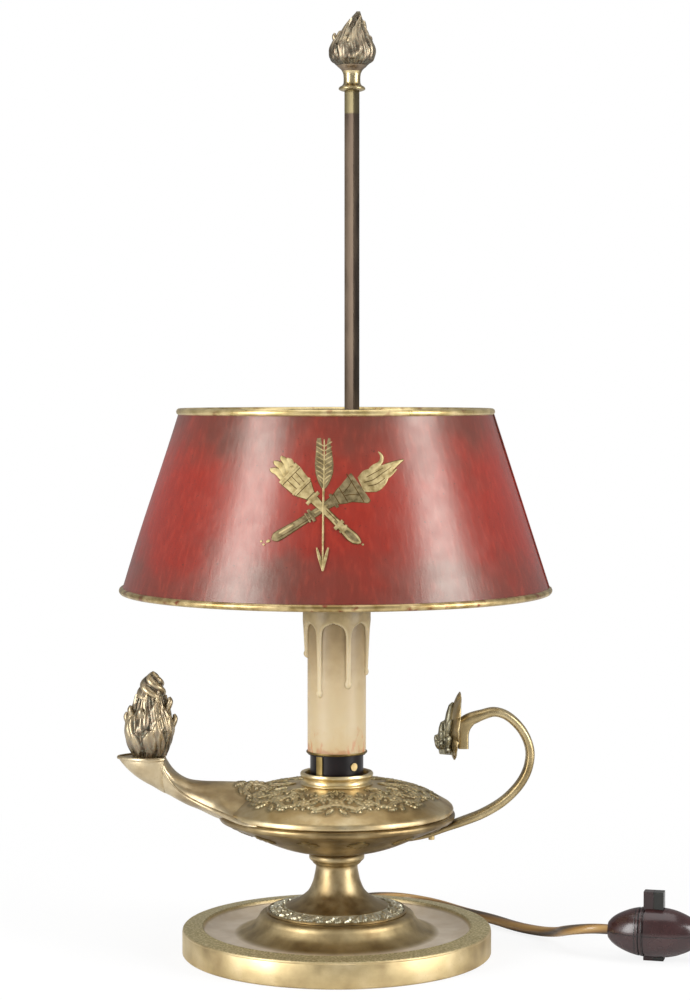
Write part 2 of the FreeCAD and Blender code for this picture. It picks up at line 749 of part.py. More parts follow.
def candle_cup():
    bore = TIE_R + TIE_GAP
    foot = CUP_Z + CUP_FOOT_H
    waist = CUP_Z + CUP_WAIST_H
    lip = CUP_Z + CUP_LIP_H
    top = CUP_Z + CUP_H
    stretches = [[(bore, CUP_Z), (CUP_FOOT_R, CUP_Z)], [(CUP_FOOT_R, CUP_Z), (CUP_FOOT_R, foot)],
                 [(CUP_FOOT_R, foot), (CUP_WAIST_R, waist), (CUP_R, lip)], [(CUP_R, lip), (CUP_R, top)]]
    stretches += joined_lines([(CUP_R, top), (CUP_BORE_R, top), (CUP_BORE_R, YOKE_Z), (bore, YOKE_Z), (bore, CUP_Z)])
    return turned(stretches)


def lampholder_yoke():
    """The brass bracket: a bar under the lock nut and two legs up the holder's sides."""
    leg_r = HOLDER_R + SHELL_GAP
    reach = 2 * (leg_r + YOKE_T)
    bar = brick(reach, YOKE_W, YOKE_Z, LOCK_NUT_Z).cut(rod(TIE_R + TIE_GAP, YOKE_Z - OVER, LOCK_NUT_Z + OVER))
    hub = tube(WASHER_R, TIE_R + TIE_GAP, YOKE_Z, LOCK_NUT_Z)
    top = SLEEVE_Z - HOLDER_LEDGE_T
    legs = tube(leg_r + YOKE_T, leg_r, YOKE_Z, top).common(brick(reach + OVER, YOKE_W, YOKE_Z, top))
    whole = bar.fuse(hub).common(rod(leg_r + YOKE_T, YOKE_Z, top)).fuse(legs)
    return spun(whole.removeSplitter(), YOKE_AZ)


def lock_nut():
    return hexagon(TIE_NUT_AF, LOCK_NUT_Z, HOLDER_Z).cut(rod(TIE_R + TIE_GAP, LOCK_NUT_Z - OVER, HOLDER_Z + OVER))


def terminals():
    """Two screw heads let into the holder's side, as cutting and as finished shape."""
    screws = []
    for az in (TERMINAL_AZ, TERMINAL_AZ - 180):
        direction = Vec(math.cos(math.radians(az)), math.sin(math.radians(az)), 0)
        at = direction * (HOLDER_R - TERMINAL_IN) + Vec(0, 0, HOLDER_Z + TERMINAL_H)
        screws.append(laid(Part.makeCylinder(TERMINAL_R, TERMINAL_IN + TERMINAL_OUT), at, direction))
    return Part.makeCompound(screws)


def lampholder_body():
    """The moulded holder, with a ledge that carries the candle tube."""
    bore = TIE_R + TIE_GAP
    cavity_low = HOLDER_Z + HOLDER_BASE_T
    web_low = WEB_TOP - HOLDER_WEB_T
    shell_bore = SHELL_R + SHELL_GAP
    ledge_low = SLEEVE_Z - HOLDER_LEDGE_T
    points = [(bore, HOLDER_Z), (HOLDER_R, HOLDER_Z), (HOLDER_R, ledge_low), (HOLDER_LEDGE_R, ledge_low),
              (HOLDER_LEDGE_R, SLEEVE_Z), (HOLDER_R, SLEEVE_Z), (HOLDER_R, HOLDER_TOP), (shell_bore, HOLDER_TOP),
              (shell_bore, WEB_TOP), (WIRE_APART, WEB_TOP), (WIRE_APART, web_low), (HOLDER_CAVITY_R, web_low),
              (HOLDER_CAVITY_R, cavity_low), (bore, cavity_low), (bore, HOLDER_Z)]
    return turned(joined_lines(points)).cut(terminals())


def screw_shell():
    """The brass shell that takes the bulb's cap, standing on the holder's web."""
    return tube(SHELL_R, SHELL_R - SHELL_T, WEB_TOP, HOLDER_TOP)


def centre_contact():
    strip = brick(CONTACT_L, CONTACT_W, WEB_TOP, WEB_TOP + CONTACT_T)
    return strip.fuse(rod(CONTACT_R, WEB_TOP, CONTACT_TOP)).removeSplitter()


def candle_sleeve():
    """The candle tube, with a thicker cap at its top and wax runs down its side."""
    bore = HOLDER_R + SLEEVE_GAP
    top = SLEEVE_Z + SLEEVE_H
    cap_low = top - DRIP_CAP_H
    points = [(bore, SLEEVE_Z), (SLEEVE_LIP_R, SLEEVE_Z), (SLEEVE_LIP_R, SLEEVE_Z + SLEEVE_LIP_EDGE),
              (SLEEVE_R, SLEEVE_Z + SLEEVE_LIP_H), (SLEEVE_R, cap_low - DRIP_CAP_SLOPE), (DRIP_CAP_R, cap_low),
              (DRIP_CAP_R, top - DRIP_CAP_ROUND), (SLEEVE_R, top), (bore, top), (bore, SLEEVE_Z)]
    sleeve = turned(joined_lines(points))
    inside = rod(bore, SLEEVE_Z - OVER, top + OVER)
    runs = []
    for az, length in DRIPS:
        x = (SLEEVE_R - DRIP_SINK) * math.cos(math.radians(az))
        y = (SLEEVE_R - DRIP_SINK) * math.sin(math.radians(az))
        run = rod(DRIP_R, top - length, cap_low + OVER, x, y)
        runs.append(run.fuse(Part.makeSphere(DRIP_R, Vec(x, y, top - length))))
    return sleeve.multiFuse(runs).cut(inside)


def bulb_cap():
    """The screw cap of the bulb with its contact tip."""
    cap = turned(joined_lines([(0, CAP_Z), (CAP_FOOT_R, CAP_Z), (CAP_R, CAP_Z + CAP_TAPER_H), (CAP_R, GLASS_Z), (0, GLASS_Z),
                               (0, CAP_Z)]))
    return cap.fuse(rod(CAP_TIP_R, CAP_TIP_Z, CAP_Z)).removeSplitter()


def glass_stretches(wall):
    line = shifted(GLASS_CURVE, 0, GLASS_Z)
    line[0] = (GLASS_CURVE[0][0] - wall, GLASS_Z + wall)
    line[1:] = [(r - wall, z) for r, z in line[1:]]
    tip = (0, GLASS_Z + GLASS_TOP - wall)
    return [[(0, GLASS_Z + wall), line[0]], line + [tip], [tip, (0, GLASS_Z + wall)]]


def bulb_glass():
    return turned(glass_stretches(0)).cut(turned(glass_stretches(GLASS_T)))


def bulb_filament():
    """The glass stem with its filament, sealed in the bulb."""
    low = GLASS_Z + GLASS_T
    stem_body = Part.makeCone(STEM_GLASS_R, STEM_GLASS_R / 2, STEM_GLASS_H, Vec(0, 0, low), UP)
    wire = rod(FILAMENT_R, low + STEM_GLASS_H - OVER, low + STEM_GLASS_H + FILAMENT_H)
    return stem_body.fuse(wire).removeSplitter()


# Rod, shade and finial


def on_rod(shape):
    """A shape made about Z, turned and moved to the rod's axis."""
    return move_to(spun(shape, ROD_TURN), ROD_X, ROD_Y, 0)


def shade_rod():
    square = brick(ROD_SIDE, ROD_SIDE, ROD_Z, ROD_TOP)
    spigot = rod(ROD_SPIGOT_R, ROD_Z - ROD_SPIGOT_H, ROD_Z)
    stud = rod(ROD_STUD_R, ROD_TOP, ROD_TOP + ROD_STUD_H)
    return on_rod(square.fuse(spigot).fuse(stud).removeSplitter())


def rod_ferrule(upper):
    """The collar between bowl and rod, cut to the bowl's curve."""
    ring = rod(FERRULE_R, CUP_Z - BOWL_WALL / 2, ROD_Z, ROD_X, ROD_Y)
    ring = ring.cut(rod(ROD_SPIGOT_R + TIE_GAP, 0, ROD_Z + OVER, ROD_X, ROD_Y))
    return largest(ring.cut(upper))


def rod_nut(upper):
    """The nut inside the bowl, its top cut to the bowl's curve."""
    low = ROD_Z - ROD_SPIGOT_H + ROD_NUT_TAIL
    nut = hexagon(ROD_NUT_AF, low, CUP_Z - BOWL_WALL / 2, ROD_X, ROD_Y)
    nut = nut.cut(rod(ROD_SPIGOT_R + TIE_GAP, 0, CUP_Z, ROD_X, ROD_Y)).cut(upper)
    return min(nut.Solids, key=lambda solid: solid.CenterOfMass.z)


def cone_radius(z):
    """The outer radius of the tin at a height."""
    return SHADE_LOW_R + (SHADE_TOP_R - SHADE_LOW_R) * (z - SHADE_LOW_Z) / SHADE_H


def cone_band(z_low, z_high, out, inn):
    """A conical band that follows the tin, between two distances inside its outer face."""
    points = [(cone_radius(z_low) - out, z_low), (cone_radius(z_high) - out, z_high),
              (cone_radius(z_high) - inn, z_high), (cone_radius(z_low) - inn, z_low)]
    return move_to(turned(joined_lines(points + points[:1])), SHADE_X, 0, 0)


def shade_cone():
    cone = cone_band(SHADE_LOW_Z, SHADE_TOP_Z, 0, TIN_T)
    return cone.cut(rivet_shanks())


def shade_rim(z):
    """A wire bead rolled round one edge of the tin."""
    bead = Part.makeTorus(cone_radius(z), BEAD_R, Vec(SHADE_X, 0, z), UP)
    return largest(bead.cut(cone_band(SHADE_LOW_Z, SHADE_TOP_Z, 0, TIN_T)))


def bar_ends():
    """Where the bar's two ends meet the tin: azimuth of each tab about the shade's axis."""
    half = math.degrees(math.asin(ROD_Y / (cone_radius(BAR_TOP) - TIN_T)))
    return (half, 180 - half)


def rivet_line(az, distance):
    direction = Vec(math.cos(math.radians(az)), math.sin(math.radians(az)), 0)
    z = BAR_TOP - RIVET_DROP
    return Vec(SHADE_X, 0, z) + direction * (cone_radius(z) + distance), direction


def rivet_shanks():
    shanks = []
    for az in bar_ends():
        start, direction = rivet_line(az, -TIN_T - BAR_TAB_T - OVER)
        shanks.append(laid(Part.makeCylinder(RIVET_R, TIN_T + BAR_TAB_T + 2 * OVER), start, direction))
    return Part.makeCompound(shanks)


def bar_rivets():
    """Two rivets with a head on each side of tin and tab."""
    rivets = []
    tin = cone_band(SHADE_LOW_Z, SHADE_TOP_Z, 0, TIN_T + BAR_TAB_T)
    for az in bar_ends():
        low, direction = rivet_line(az, -TIN_T - BAR_TAB_T - RIVET_HEAD_T)
        length = TIN_T + BAR_TAB_T + 2 * RIVET_HEAD_T
        shank = laid(Part.makeCylinder(RIVET_R, length), low, direction)
        head = laid(Part.makeCylinder(RIVET_HEAD_R, length), low, direction)
        rivets.append(head.cut(tin).fuse(shank).removeSplitter())
    return Part.makeCompound([solid for rivet in rivets for solid in rivet.Solids])


def collar_prism(z_low, z_high):
    return on_rod(brick(2 * COLLAR_HALF, 2 * COLLAR_HALF, z_low, z_high))


def shade_bar():
    """The flat bar across the shade, with a hub at the collar and tabs riveted to the tin."""
    low = BAR_TOP - BAR_T
    bar = brick(2 * SHADE_LOW_R, BAR_W, low, BAR_TOP, SHADE_X, ROD_Y)
    hub = rod(BAR_HUB_R, low, BAR_TOP, ROD_X, ROD_Y)
    inside = cone_band(SHADE_LOW_Z, SHADE_TOP_Z, TIN_T, SHADE_TOP_R - OVER)
    flat = bar.common(inside).fuse(hub)
    tab_low = BAR_TOP - BAR_TAB_L
    tabs = cone_band(tab_low, BAR_TOP, TIN_T, TIN_T + BAR_TAB_T)
    tabs = tabs.common(brick(2 * SHADE_LOW_R, BAR_W, tab_low, BAR_TOP, SHADE_X, ROD_Y))
    whole = flat.fuse(tabs).cut(collar_prism(low - OVER, BAR_TOP + OVER)).cut(rivet_shanks())
    return largest(whole.removeSplitter())


def thumb_axis():
    """The screw's direction: square out of the rod's back face."""
    turn = math.radians(ROD_TURN)
    return Vec(-math.sin(turn), math.cos(turn), 0)


def rod_point(out, z):
    return Vec(ROD_X, ROD_Y, z) + thumb_axis() * out


def shade_collar():
    """The square sleeve that slides on the rod, with a boss for its screw."""
    low = COLLAR_TOP - COLLAR_H
    boss = laid(Part.makeCylinder(BOSS_R, COLLAR_HALF + BOSS_L), rod_point(0, THUMB_Z), thumb_axis())
    side = ROD_SIDE + 2 * SLIDE_GAP
    bore = on_rod(brick(side, side, low - OVER, COLLAR_TOP + OVER))
    thread = laid(Part.makeCylinder(THUMB_R + THUMB_GAP, 2 * COLLAR_HALF + BOSS_L), rod_point(0, THUMB_Z),
                  thumb_axis())
    return collar_prism(low, COLLAR_TOP).fuse(boss).cut(bore).cut(thread).removeSplitter()


def thumb_screw():
    """A wing screw whose tip bears on the rod."""
    tip = ROD_SIDE / 2 + THUMB_TIP_GAP
    head = COLLAR_HALF + BOSS_L + THUMB_NECK
    shank = laid(Part.makeCylinder(THUMB_R, head - tip + OVER), rod_point(tip, THUMB_Z), thumb_axis())
    knob = laid(Part.makeCylinder(THUMB_HEAD_R, THUMB_HEAD_L), rod_point(head, THUMB_Z), thumb_axis())
    wing = Part.makeCylinder(WING_W / 2, WING_T, Vec(0, -WING_T / 2, 0), Vec(0, 1, 0))
    wing = wing.common(brick(WING_W, WING_T, -WING_LOW, WING_L))
    wing = laid(wing, rod_point(head + THUMB_HEAD_L + WING_OUT, THUMB_Z), thumb_axis())
    return shank.fuse(knob).fuse(wing).removeSplitter()


def finial_socket():
    """The turned neck that screws on the rod's stud."""
    bore = ROD_STUD_R + FINIAL_BORE_GAP
    bore_top = ROD_STUD_H + FINIAL_BORE_MORE
    top = FINIAL_SOCKET_H
    collar = (FINIAL_COLLAR_R, FINIAL_COLLAR_H)
    curve = [collar] + list(FINIAL_NECK) + [(FINIAL_TOP_R, top)]
    peg_z = top - FINIAL_PEG_H
    stretches = [[(bore, 0), (FINIAL_FOOT_R, 0)], [(FINIAL_FOOT_R, 0), collar], curve]
    stretches += joined_lines([(FINIAL_TOP_R, top), (FINIAL_PEG_R, top), (FINIAL_PEG_R, peg_z), (0, peg_z),
                               (0, bore_top), (bore, bore_top), (bore, 0)])
    return move_to(turned(stretches), ROD_X, ROD_Y, FINIAL_Z)


def finial_flame():
    body = flame(FINIAL_FLAME).fuse(rod(FINIAL_PEG_R, -FINIAL_PEG_H, OVER))
    return move_to(body.removeSplitter(), ROD_X, ROD_Y, FINIAL_FLAME_Z)


# Cord, switch and plug


def cord_direction():
    return Vec(math.cos(math.radians(CORD_AZ)), math.sin(math.radians(CORD_AZ)), 0)


def grommet_point(out):
    """A point on the cord's way out, measured from the foot's edge."""
    return cord_direction() * (BASE_R + out) + Vec(0, 0, CORD_Z)


def cord_grommet(dish):
    """The tapered grommet in the foot's edge."""
    points = [(GROMMET_BORE_R, -SKIRT_T - GROMMET_IN), (GROMMET_R, -SKIRT_T - GROMMET_IN), (GROMMET_R, -GROMMET_FLANGE_IN),
              (GROMMET_FLANGE_R, -GROMMET_FLANGE_IN), (GROMMET_FLANGE_R, GROMMET_FLANGE_T), (GROMMET_ROOT_R, GROMMET_FLANGE_T),
              (GROMMET_TIP_R, GROMMET_L), (GROMMET_BORE_R, GROMMET_L)]
    body = turned(joined_lines(points + points[:1]))
    return largest(laid(body, grommet_point(0), cord_direction()).cut(dish))


def circle_wire(at, direction, radius):
    return Part.Wire([Part.makeCircle(radius, at, direction)])


def lamp_wires():
    """The two insulated wires from the grommet up the hollow tube to the holder."""
    side = UP.cross(cord_direction()) * (WIRE_APART / 2)
    out = grommet_point(GROMMET_L - WIRE_END_GAP)
    turn_in = cord_direction() * WIRE_BEND_R + Vec(0, 0, CORD_Z)
    turn_up = Vec(0, 0, CORD_Z + WIRE_BEND_R)
    corner = WIRE_BEND_R * (1 - math.sqrt(0.5))
    middle = cord_direction() * corner + Vec(0, 0, CORD_Z + corner)
    top = Vec(0, 0, WEB_TOP - HOLDER_WEB_T - WIRE_END_GAP)
    wires = []
    for offset in (side, side * -1):
        edges = [Part.LineSegment(out + offset, turn_in + offset).toShape(),
                 Part.Arc(turn_in + offset, middle + offset, turn_up + offset).toShape(),
                 Part.LineSegment(turn_up + offset, top + offset).toShape()]
        ring = circle_wire(out + offset, cord_direction(), WIRE_R)
        wires.append(Part.Wire(edges).makePipeShell([ring], True, False))
    return Part.makeCompound(wires)


def cord_tube(name, points):
    """A tube of straight runs and tangent arcs along a route; its radii and volume are printed."""
    edges = []
    radii = []
    here = points[0]
    for before, corner, after in zip(points, points[1:], points[2:]):
        back = before - corner
        ahead = after - corner
        reach = 0.45 * min(back.Length, ahead.Length)
        half_turn = (math.pi - back.getAngle(ahead)) / 2
        radii.append(reach / math.tan(half_turn))
        back.normalize()
        ahead.normalize()
        start = corner + back * reach
        end = corner + ahead * reach
        inward = back + ahead
        inward.normalize()
        sagitta = radii[-1] * (1 / math.cos(half_turn) - 1)
        edges.append(Part.LineSegment(here, start).toShape())
        edges.append(Part.Arc(start, corner + inward * sagitta, end).toShape())
        here = end
    edges.append(Part.LineSegment(here, points[-1]).toShape())
    path = Part.Wire(edges)
    first = points[1] - points[0]
    ring = circle_wire(points[0], first, CORD_D / 2)
    solid = path.makePipeShell([ring], True, False)
    section = math.pi * CORD_D ** 2 / 4
    print(name, "length %.1f" % path.Length, "volume share %.4f" % (solid.Volume / (section * path.Length)),
          "radii", [round(radius, 1) for radius in radii])
    return solid


def switch_direction():
    return Vec(math.cos(math.radians(SWITCH_AZ)), math.sin(math.radians(SWITCH_AZ)), 0)


def switch_point(along):
    return Vec(SWITCH_X, SWITCH_Y, SWITCH_Z) + switch_direction() * along


def push_block(gap, z_low, z_high):
    """The push bar's upright block, or the slot for it when a gap is given."""
    block = brick(PUSH_W + 2 * gap, PUSH_D + 2 * gap, z_low, z_high)
    return move_to(spun(block, SWITCH_AZ), SWITCH_X, SWITCH_Y, 0)


def switch_shell():
    """The olive shell on its own axis, hollow, with a bore at each end."""
    half = [(r, -s) for r, s in SWITCH_CURVE]
    line = half + [(r, s) for r, s in SWITCH_CURVE[::-1]][1:]
    outer = turned([[(0, -SWITCH_HALF), line[0]], line, [line[-1], (0, SWITCH_HALF)],
                    [(0, SWITCH_HALF), (0, -SWITCH_HALF)]])
    hollow = rod(SWITCH_CAVITY_R, -SWITCH_CAVITY_HALF, SWITCH_CAVITY_HALF)
    bore = rod(SWITCH_BORE_R, -SWITCH_HALF - OVER, SWITCH_HALF + OVER)
    return outer.cut(hollow).cut(bore)


def groove(along):
    """A narrow ring cut at the shell's surface."""
    outside = SWITCH_CURVE[-1][0]
    depth_r = outside - SWITCH_GROOVE_D
    return tube(outside + OVER, depth_r, along - SWITCH_GROOVE_W / 2, along + SWITCH_GROOVE_W / 2)


def switch_half(low, high):
    """The part of the switch shell between two places on its axis."""
    piece = switch_shell().common(rod(SWITCH_CURVE[-1][0] + OVER, low, high))
    grooves = (SWITCH_SPLIT, SWITCH_SPLIT + SWITCH_GROOVE_STEP)
    for along in grooves:
        piece = piece.cut(groove(along))
    piece = laid(piece, switch_point(0), switch_direction())
    return largest(piece.cut(push_block(PUSH_GAP, -OVER, PUSH_TOP)))


def switch_contacts():
    """Two spring strips, one on each side of the push bar."""
    strips = []
    offset = PUSH_D / 2 + PUSH_GAP + STRIP_T / 2 + STRIP_CLEAR
    for side in (-offset, offset):
        strip = brick(STRIP_L, STRIP_T, SWITCH_Z - STRIP_H / 2, SWITCH_Z + STRIP_H / 2, 0, side)
        strips.append(move_to(spun(strip, SWITCH_AZ), SWITCH_X, SWITCH_Y, 0))
    return Part.makeCompound(strips)


def coil_place(turns):
    """Radius and height of the coil's line after a number of turns."""
    span = (COIL_TURNS + (COIL_END_AZ - COIL_START_AZ) % 360 / 360 - 0.5 * (COIL_LAYERS - 1)) / COIL_LAYERS
    layer = min(int(turns / (span + 0.5)), COIL_LAYERS - 1)
    rest = turns - layer * (span + 0.5)
    inward = layer % 2 == 0
    travelled = COIL_PITCH * min(rest, span)
    inner = COIL_OUT_R - COIL_PITCH * span
    radius = COIL_OUT_R - travelled if inward else inner + travelled
    height = COIL_Z + COIL_LAYER * layer
    if rest > span:
        over = rest - span
        dip = COIL_PITCH * (over - 2 * over ** 2)
        radius += -dip if inward else dip
        part = over / 0.5
        height += COIL_LAYER * part * part * (3 - 2 * part)
    return radius, height


def coil_total():
    return COIL_TURNS + (COIL_END_AZ - COIL_START_AZ) % 360 / 360


def coil_point(turns):
    radius, height = coil_place(turns)
    angle = math.radians(COIL_START_AZ) + 2 * math.pi * turns
    return Vec(COIL_X + radius * math.cos(angle), COIL_Y + radius * math.sin(angle), height)


def coil_tangent(turns):
    step = 0.002
    low = max(turns - step, 0)
    high = min(turns + step, coil_total())
    along = coil_point(high) - coil_point(low)
    return along.normalize()


def arc_between(start, corner, end):
    """The arc that leaves start towards corner and reaches end, as far from corner as start."""
    middle = (start + end) * 0.5
    half_chord = (end - start).Length / 2
    height = (corner - middle).Length
    if height < 1e-4:
        return Part.LineSegment(start, end).toShape()
    sagitta = half_chord * math.tan(math.atan2(height, half_chord) / 2)
    return Part.Arc(start, middle + (corner - middle) * (sagitta / height), end).toShape()


def biarc(start, start_way, end, end_way):
    """Two tangent arcs from one point and direction to another."""
    chord = end - start
    both = start_way + end_way
    bend = 2 * (1 - start_way.dot(end_way))
    reach = chord.dot(both)
    if bend < 1e-9:
        size = chord.Length / 4
    else:
        size = (-reach + math.sqrt(reach ** 2 + bend * chord.dot(chord))) / bend
    corner_1 = start + start_way * size
    corner_2 = end - end_way * size
    joint = (corner_1 + corner_2) * 0.5
    return [arc_between(start, corner_1, joint), arc_between(joint, corner_2, end)]


def coil_ends():
    """The two end faces' centres, one diameter straight out from the turns."""
    first = coil_point(0) - coil_tangent(0) * CORD_D
    last = coil_point(coil_total()) + coil_tangent(coil_total()) * CORD_D
    return first, last


def coil_gap():
    """The least gap between turns, measured on points of the line."""
    per_turn = 48
    count = int(coil_total() * per_turn)
    points = [coil_point(coil_total() * i / count) for i in range(count + 1)]
    least = 1e9
    for i, one in enumerate(points):
        for other in points[i + per_turn // 3:]:
            least = min(least, (one - other).Length)
    return least - CORD_D


def cord_coil():
    """The put-away length: one tube wound in flat layers, in and out again."""
    stops = []
    count = int(coil_total() * COIL_PIECES_PER_TURN)
    for i in range(count + 1):
        stops.append(i / COIL_PIECES_PER_TURN)
    stops[-1] = coil_total()
    first, last = coil_ends()
    edges = [Part.LineSegment(first, coil_point(0)).toShape()]
    for low, high in zip(stops, stops[1:]):
        edges += biarc(coil_point(low), coil_tangent(low), coil_point(high), coil_tangent(high))
    edges.append(Part.LineSegment(coil_point(coil_total()), last).toShape())
    path = Part.Wire(edges)
    ring = circle_wire(first, coil_tangent(0), CORD_D / 2)
    solid = path.makePipeShell([ring], True, False)
    section = math.pi * CORD_D ** 2 / 4
    print("coil length %.1f" % path.Length, "volume share %.4f" % (solid.Volume / (section * path.Length)),
          "least gap %.2f" % coil_gap())
    return solid


def coil_tie():
    """The band round the bundle of turns."""
    inner = COIL_OUT_R - COIL_PITCH * (TIE_BAND_TURNS - 1) - CORD_D / 2 - TIE_BAND_GAP
    outer = COIL_OUT_R + CORD_D / 2 + TIE_BAND_GAP
    low = COIL_Z - CORD_D / 2 - TIE_BAND_LOW_GAP
    high = COIL_Z + COIL_LAYER * (COIL_LAYERS - 1) + CORD_D / 2 + TIE_BAND_GAP
    hole = Part.makeBox(outer - inner, TIE_BAND_W + 2 * OVER, high - low, Vec(inner, -TIE_BAND_W / 2 - OVER, low))
    body = Part.makeBox(outer - inner + 2 * TIE_BAND_T, TIE_BAND_W, high - low + 2 * TIE_BAND_T,
                        Vec(inner - TIE_BAND_T, -TIE_BAND_W / 2, low - TIE_BAND_T))
    return move_to(spun(body.cut(hole), TIE_BAND_AZ), COIL_X, COIL_Y, 0)


def plug_back():
    return Vec(PLUG_X, PLUG_BACK_Y, PLUG_Z)


def plug_pin_shapes():
    face_y = PLUG_BACK_Y + PLUG_L
    pins = []
    for side in (-0.5, 0.5):
        root = Vec(PLUG_X + side * PIN_APART, face_y - PIN_IN, PLUG_Z)
        shank = Part.makeCylinder(PIN_ROOT_R, PIN_IN, root, Vec(0, 1, 0))
        pin = Part.makeCylinder(PIN_R, PIN_L, root + Vec(0, PIN_IN, 0), Vec(0, 1, 0))
        pins.append(shank.fuse(pin))
    return Part.makeCompound(pins)


def plug_body():
    """The round moulded plug, narrowing to the cord."""
    shoulder = PLUG_L - PLUG_FACE_L
    curve = [(PLUG_TAIL_R, 0)] + list(PLUG_CURVE) + [(PLUG_R, shoulder)]
    body = turned([[(0, 0), (PLUG_TAIL_R, 0)], curve, [(PLUG_R, shoulder), (PLUG_R, PLUG_L)],
                   [(PLUG_R, PLUG_L), (0, PLUG_L)], [(0, PLUG_L), (0, 0)]])
    return laid(body, plug_back(), Vec(0, 1, 0)).cut(plug_pin_shapes())


def vectors(rows):
    return [Vec(*row) for row in rows]


def build():
    os.makedirs("parts", exist_ok=True)
    filled = bowl_filled()
    dish = base_dish()
    lower = bowl_lower()
    upper = bowl_upper()
    save(dish, "base_dish")
    save(base_cover(), "base_cover")
    save(stem(), "stem")
    save(stem_knop(), "stem_knop")
    save(lower, "bowl_lower")
    save(upper, "bowl_upper")
    save(tie_rod(), "tie_rod")
    save(tie_washer(), "tie_washer")
    save(tie_nut(), "tie_nut")
    save(spout(filled), "spout")
    save(spout_flame(), "spout_flame")
    save(flame_peg(), "flame_peg")
    save(handle_strap(filled), "handle_strap")
    save(handle_rivets(lower), "handle_rivets")
    save(rosette_plate(), "rosette_plate")
    save(rosette_flower(), "rosette_flower")
    save(rosette_stud(), "rosette_stud")
    save(candle_cup(), "candle_cup")
    save(lampholder_yoke(), "lampholder_yoke")
    save(lock_nut(), "lock_nut")
    save(lampholder_body(), "lampholder_body")
    save(terminals(), "terminal_screws")
    save(screw_shell(), "screw_shell")
    save(centre_contact(), "centre_contact")
    save(candle_sleeve(), "candle_sleeve")
    save(bulb_cap(), "bulb_cap")
    save(bulb_glass(), "bulb_glass")
    save(bulb_filament(), "bulb_filament")
    save(shade_rod(), "shade_rod")
    save(rod_ferrule(upper), "rod_ferrule")
    save(rod_nut(upper), "rod_nut")
    save(shade_cone(), "shade_cone")
    save(shade_rim(SHADE_TOP_Z), "shade_top_rim")
    save(shade_rim(SHADE_LOW_Z), "shade_bottom_rim")
    save(shade_bar(), "shade_bar")
    save(bar_rivets(), "bar_rivets")
    save(shade_collar(), "shade_collar")
    save(thumb_screw(), "thumb_screw")
    save(finial_socket(), "finial_socket")
    save(finial_flame(), "finial_flame")
    grommet = cord_grommet(dish)
    save(grommet, "cord_grommet")
    save(lamp_wires(), "lamp_wires")
    lead = [grommet_point(GROMMET_L)] + vectors(LEAD) + [switch_point(-SWITCH_HALF)]
    cap = switch_half(-SWITCH_HALF - OVER, SWITCH_SPLIT)
    body = switch_half(SWITCH_SPLIT, SWITCH_HALF + OVER)
    save(largest(cord_tube("lead", lead).cut(grommet).cut(cap)), "cord_lead")
    save(cap, "switch_cap")
    save(body, "switch_body")
    save(push_block(0, PUSH_FOOT, PUSH_TOP), "switch_push_bar")
    save(switch_contacts(), "switch_contacts")
    coil_in, coil_out = coil_ends()
    coil = cord_coil()
    plug = plug_body()
    tail = cord_tube("tail", [switch_point(SWITCH_HALF)] + vectors(TAIL) + [coil_in])
    save(largest(tail.cut(body).cut(coil)), "cord_tail")
    save(coil, "cord_coil")
    save(coil_tie(), "coil_tie")
    end = cord_tube("end", [coil_out] + vectors(END) + [plug_back()])
    save(largest(end.cut(coil).cut(plug)), "cord_end")
    save(plug, "plug_body")
    save(plug_pin_shapes(), "plug_pins")


build()
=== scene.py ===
# The looks of a brass bouillotte lamp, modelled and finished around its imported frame.
# Metres, +Z up: the origin is under the middle of the foot, the spout points to -X,
# the handle to +X, and the shade's painted front faces -Y.
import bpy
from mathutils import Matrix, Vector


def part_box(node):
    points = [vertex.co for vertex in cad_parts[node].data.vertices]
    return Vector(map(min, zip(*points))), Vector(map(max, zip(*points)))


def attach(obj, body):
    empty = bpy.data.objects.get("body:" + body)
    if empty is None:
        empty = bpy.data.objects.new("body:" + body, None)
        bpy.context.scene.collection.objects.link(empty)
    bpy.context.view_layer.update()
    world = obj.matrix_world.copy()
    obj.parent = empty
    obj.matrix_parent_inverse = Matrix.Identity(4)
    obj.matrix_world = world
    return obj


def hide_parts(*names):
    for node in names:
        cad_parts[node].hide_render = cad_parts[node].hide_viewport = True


bl_info = {
    "name": "Bouillotte lamp",
    "version": (1, 0, 0),
    "blender": (4, 5, 0),
    "location": "3D View > Sidebar > Lamp",
    "description": "Models and finishes a brass candle lamp with a lacquered tin shade",
    "category": "Object",
}

import math

import bpy
import numpy as np
from mathutils import Vector

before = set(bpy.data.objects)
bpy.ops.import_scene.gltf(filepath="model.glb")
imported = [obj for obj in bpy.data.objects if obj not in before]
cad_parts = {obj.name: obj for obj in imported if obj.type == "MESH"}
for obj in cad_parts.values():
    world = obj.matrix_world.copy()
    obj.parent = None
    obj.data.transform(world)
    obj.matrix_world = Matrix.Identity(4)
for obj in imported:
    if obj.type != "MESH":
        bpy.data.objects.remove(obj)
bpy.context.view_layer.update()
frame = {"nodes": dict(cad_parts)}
NODES = frame["nodes"]
MM = 0.001
LAMP = "lamp"
SHADE = "shade"


# Small helpers


def deselect():
    """Leaves nothing selected, out of edit mode."""
    if bpy.context.object and bpy.context.object.mode != "OBJECT":
        bpy.ops.object.mode_set(mode="OBJECT")
    bpy.ops.object.select_all(action="DESELECT")


def select_only(piece):
    """Leaves one piece selected and active."""
    deselect()
    bpy.context.view_layer.objects.active = piece
    piece.select_set(True)


def linear(hex_colour):
    """An sRGB hex colour as linear red, green, blue."""
    values = [int(hex_colour[i:i + 2], 16) / 255 for i in (0, 2, 4)]
    return [v / 12.92 if v <= 0.04045 else ((v + 0.055) / 1.055) ** 2.4 for v in values]


def low(node):
    """The low corner of a CAD piece's box, in metres."""
    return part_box(node)[0]


def high(node):
    """The high corner of a CAD piece's box, in metres."""
    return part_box(node)[1]


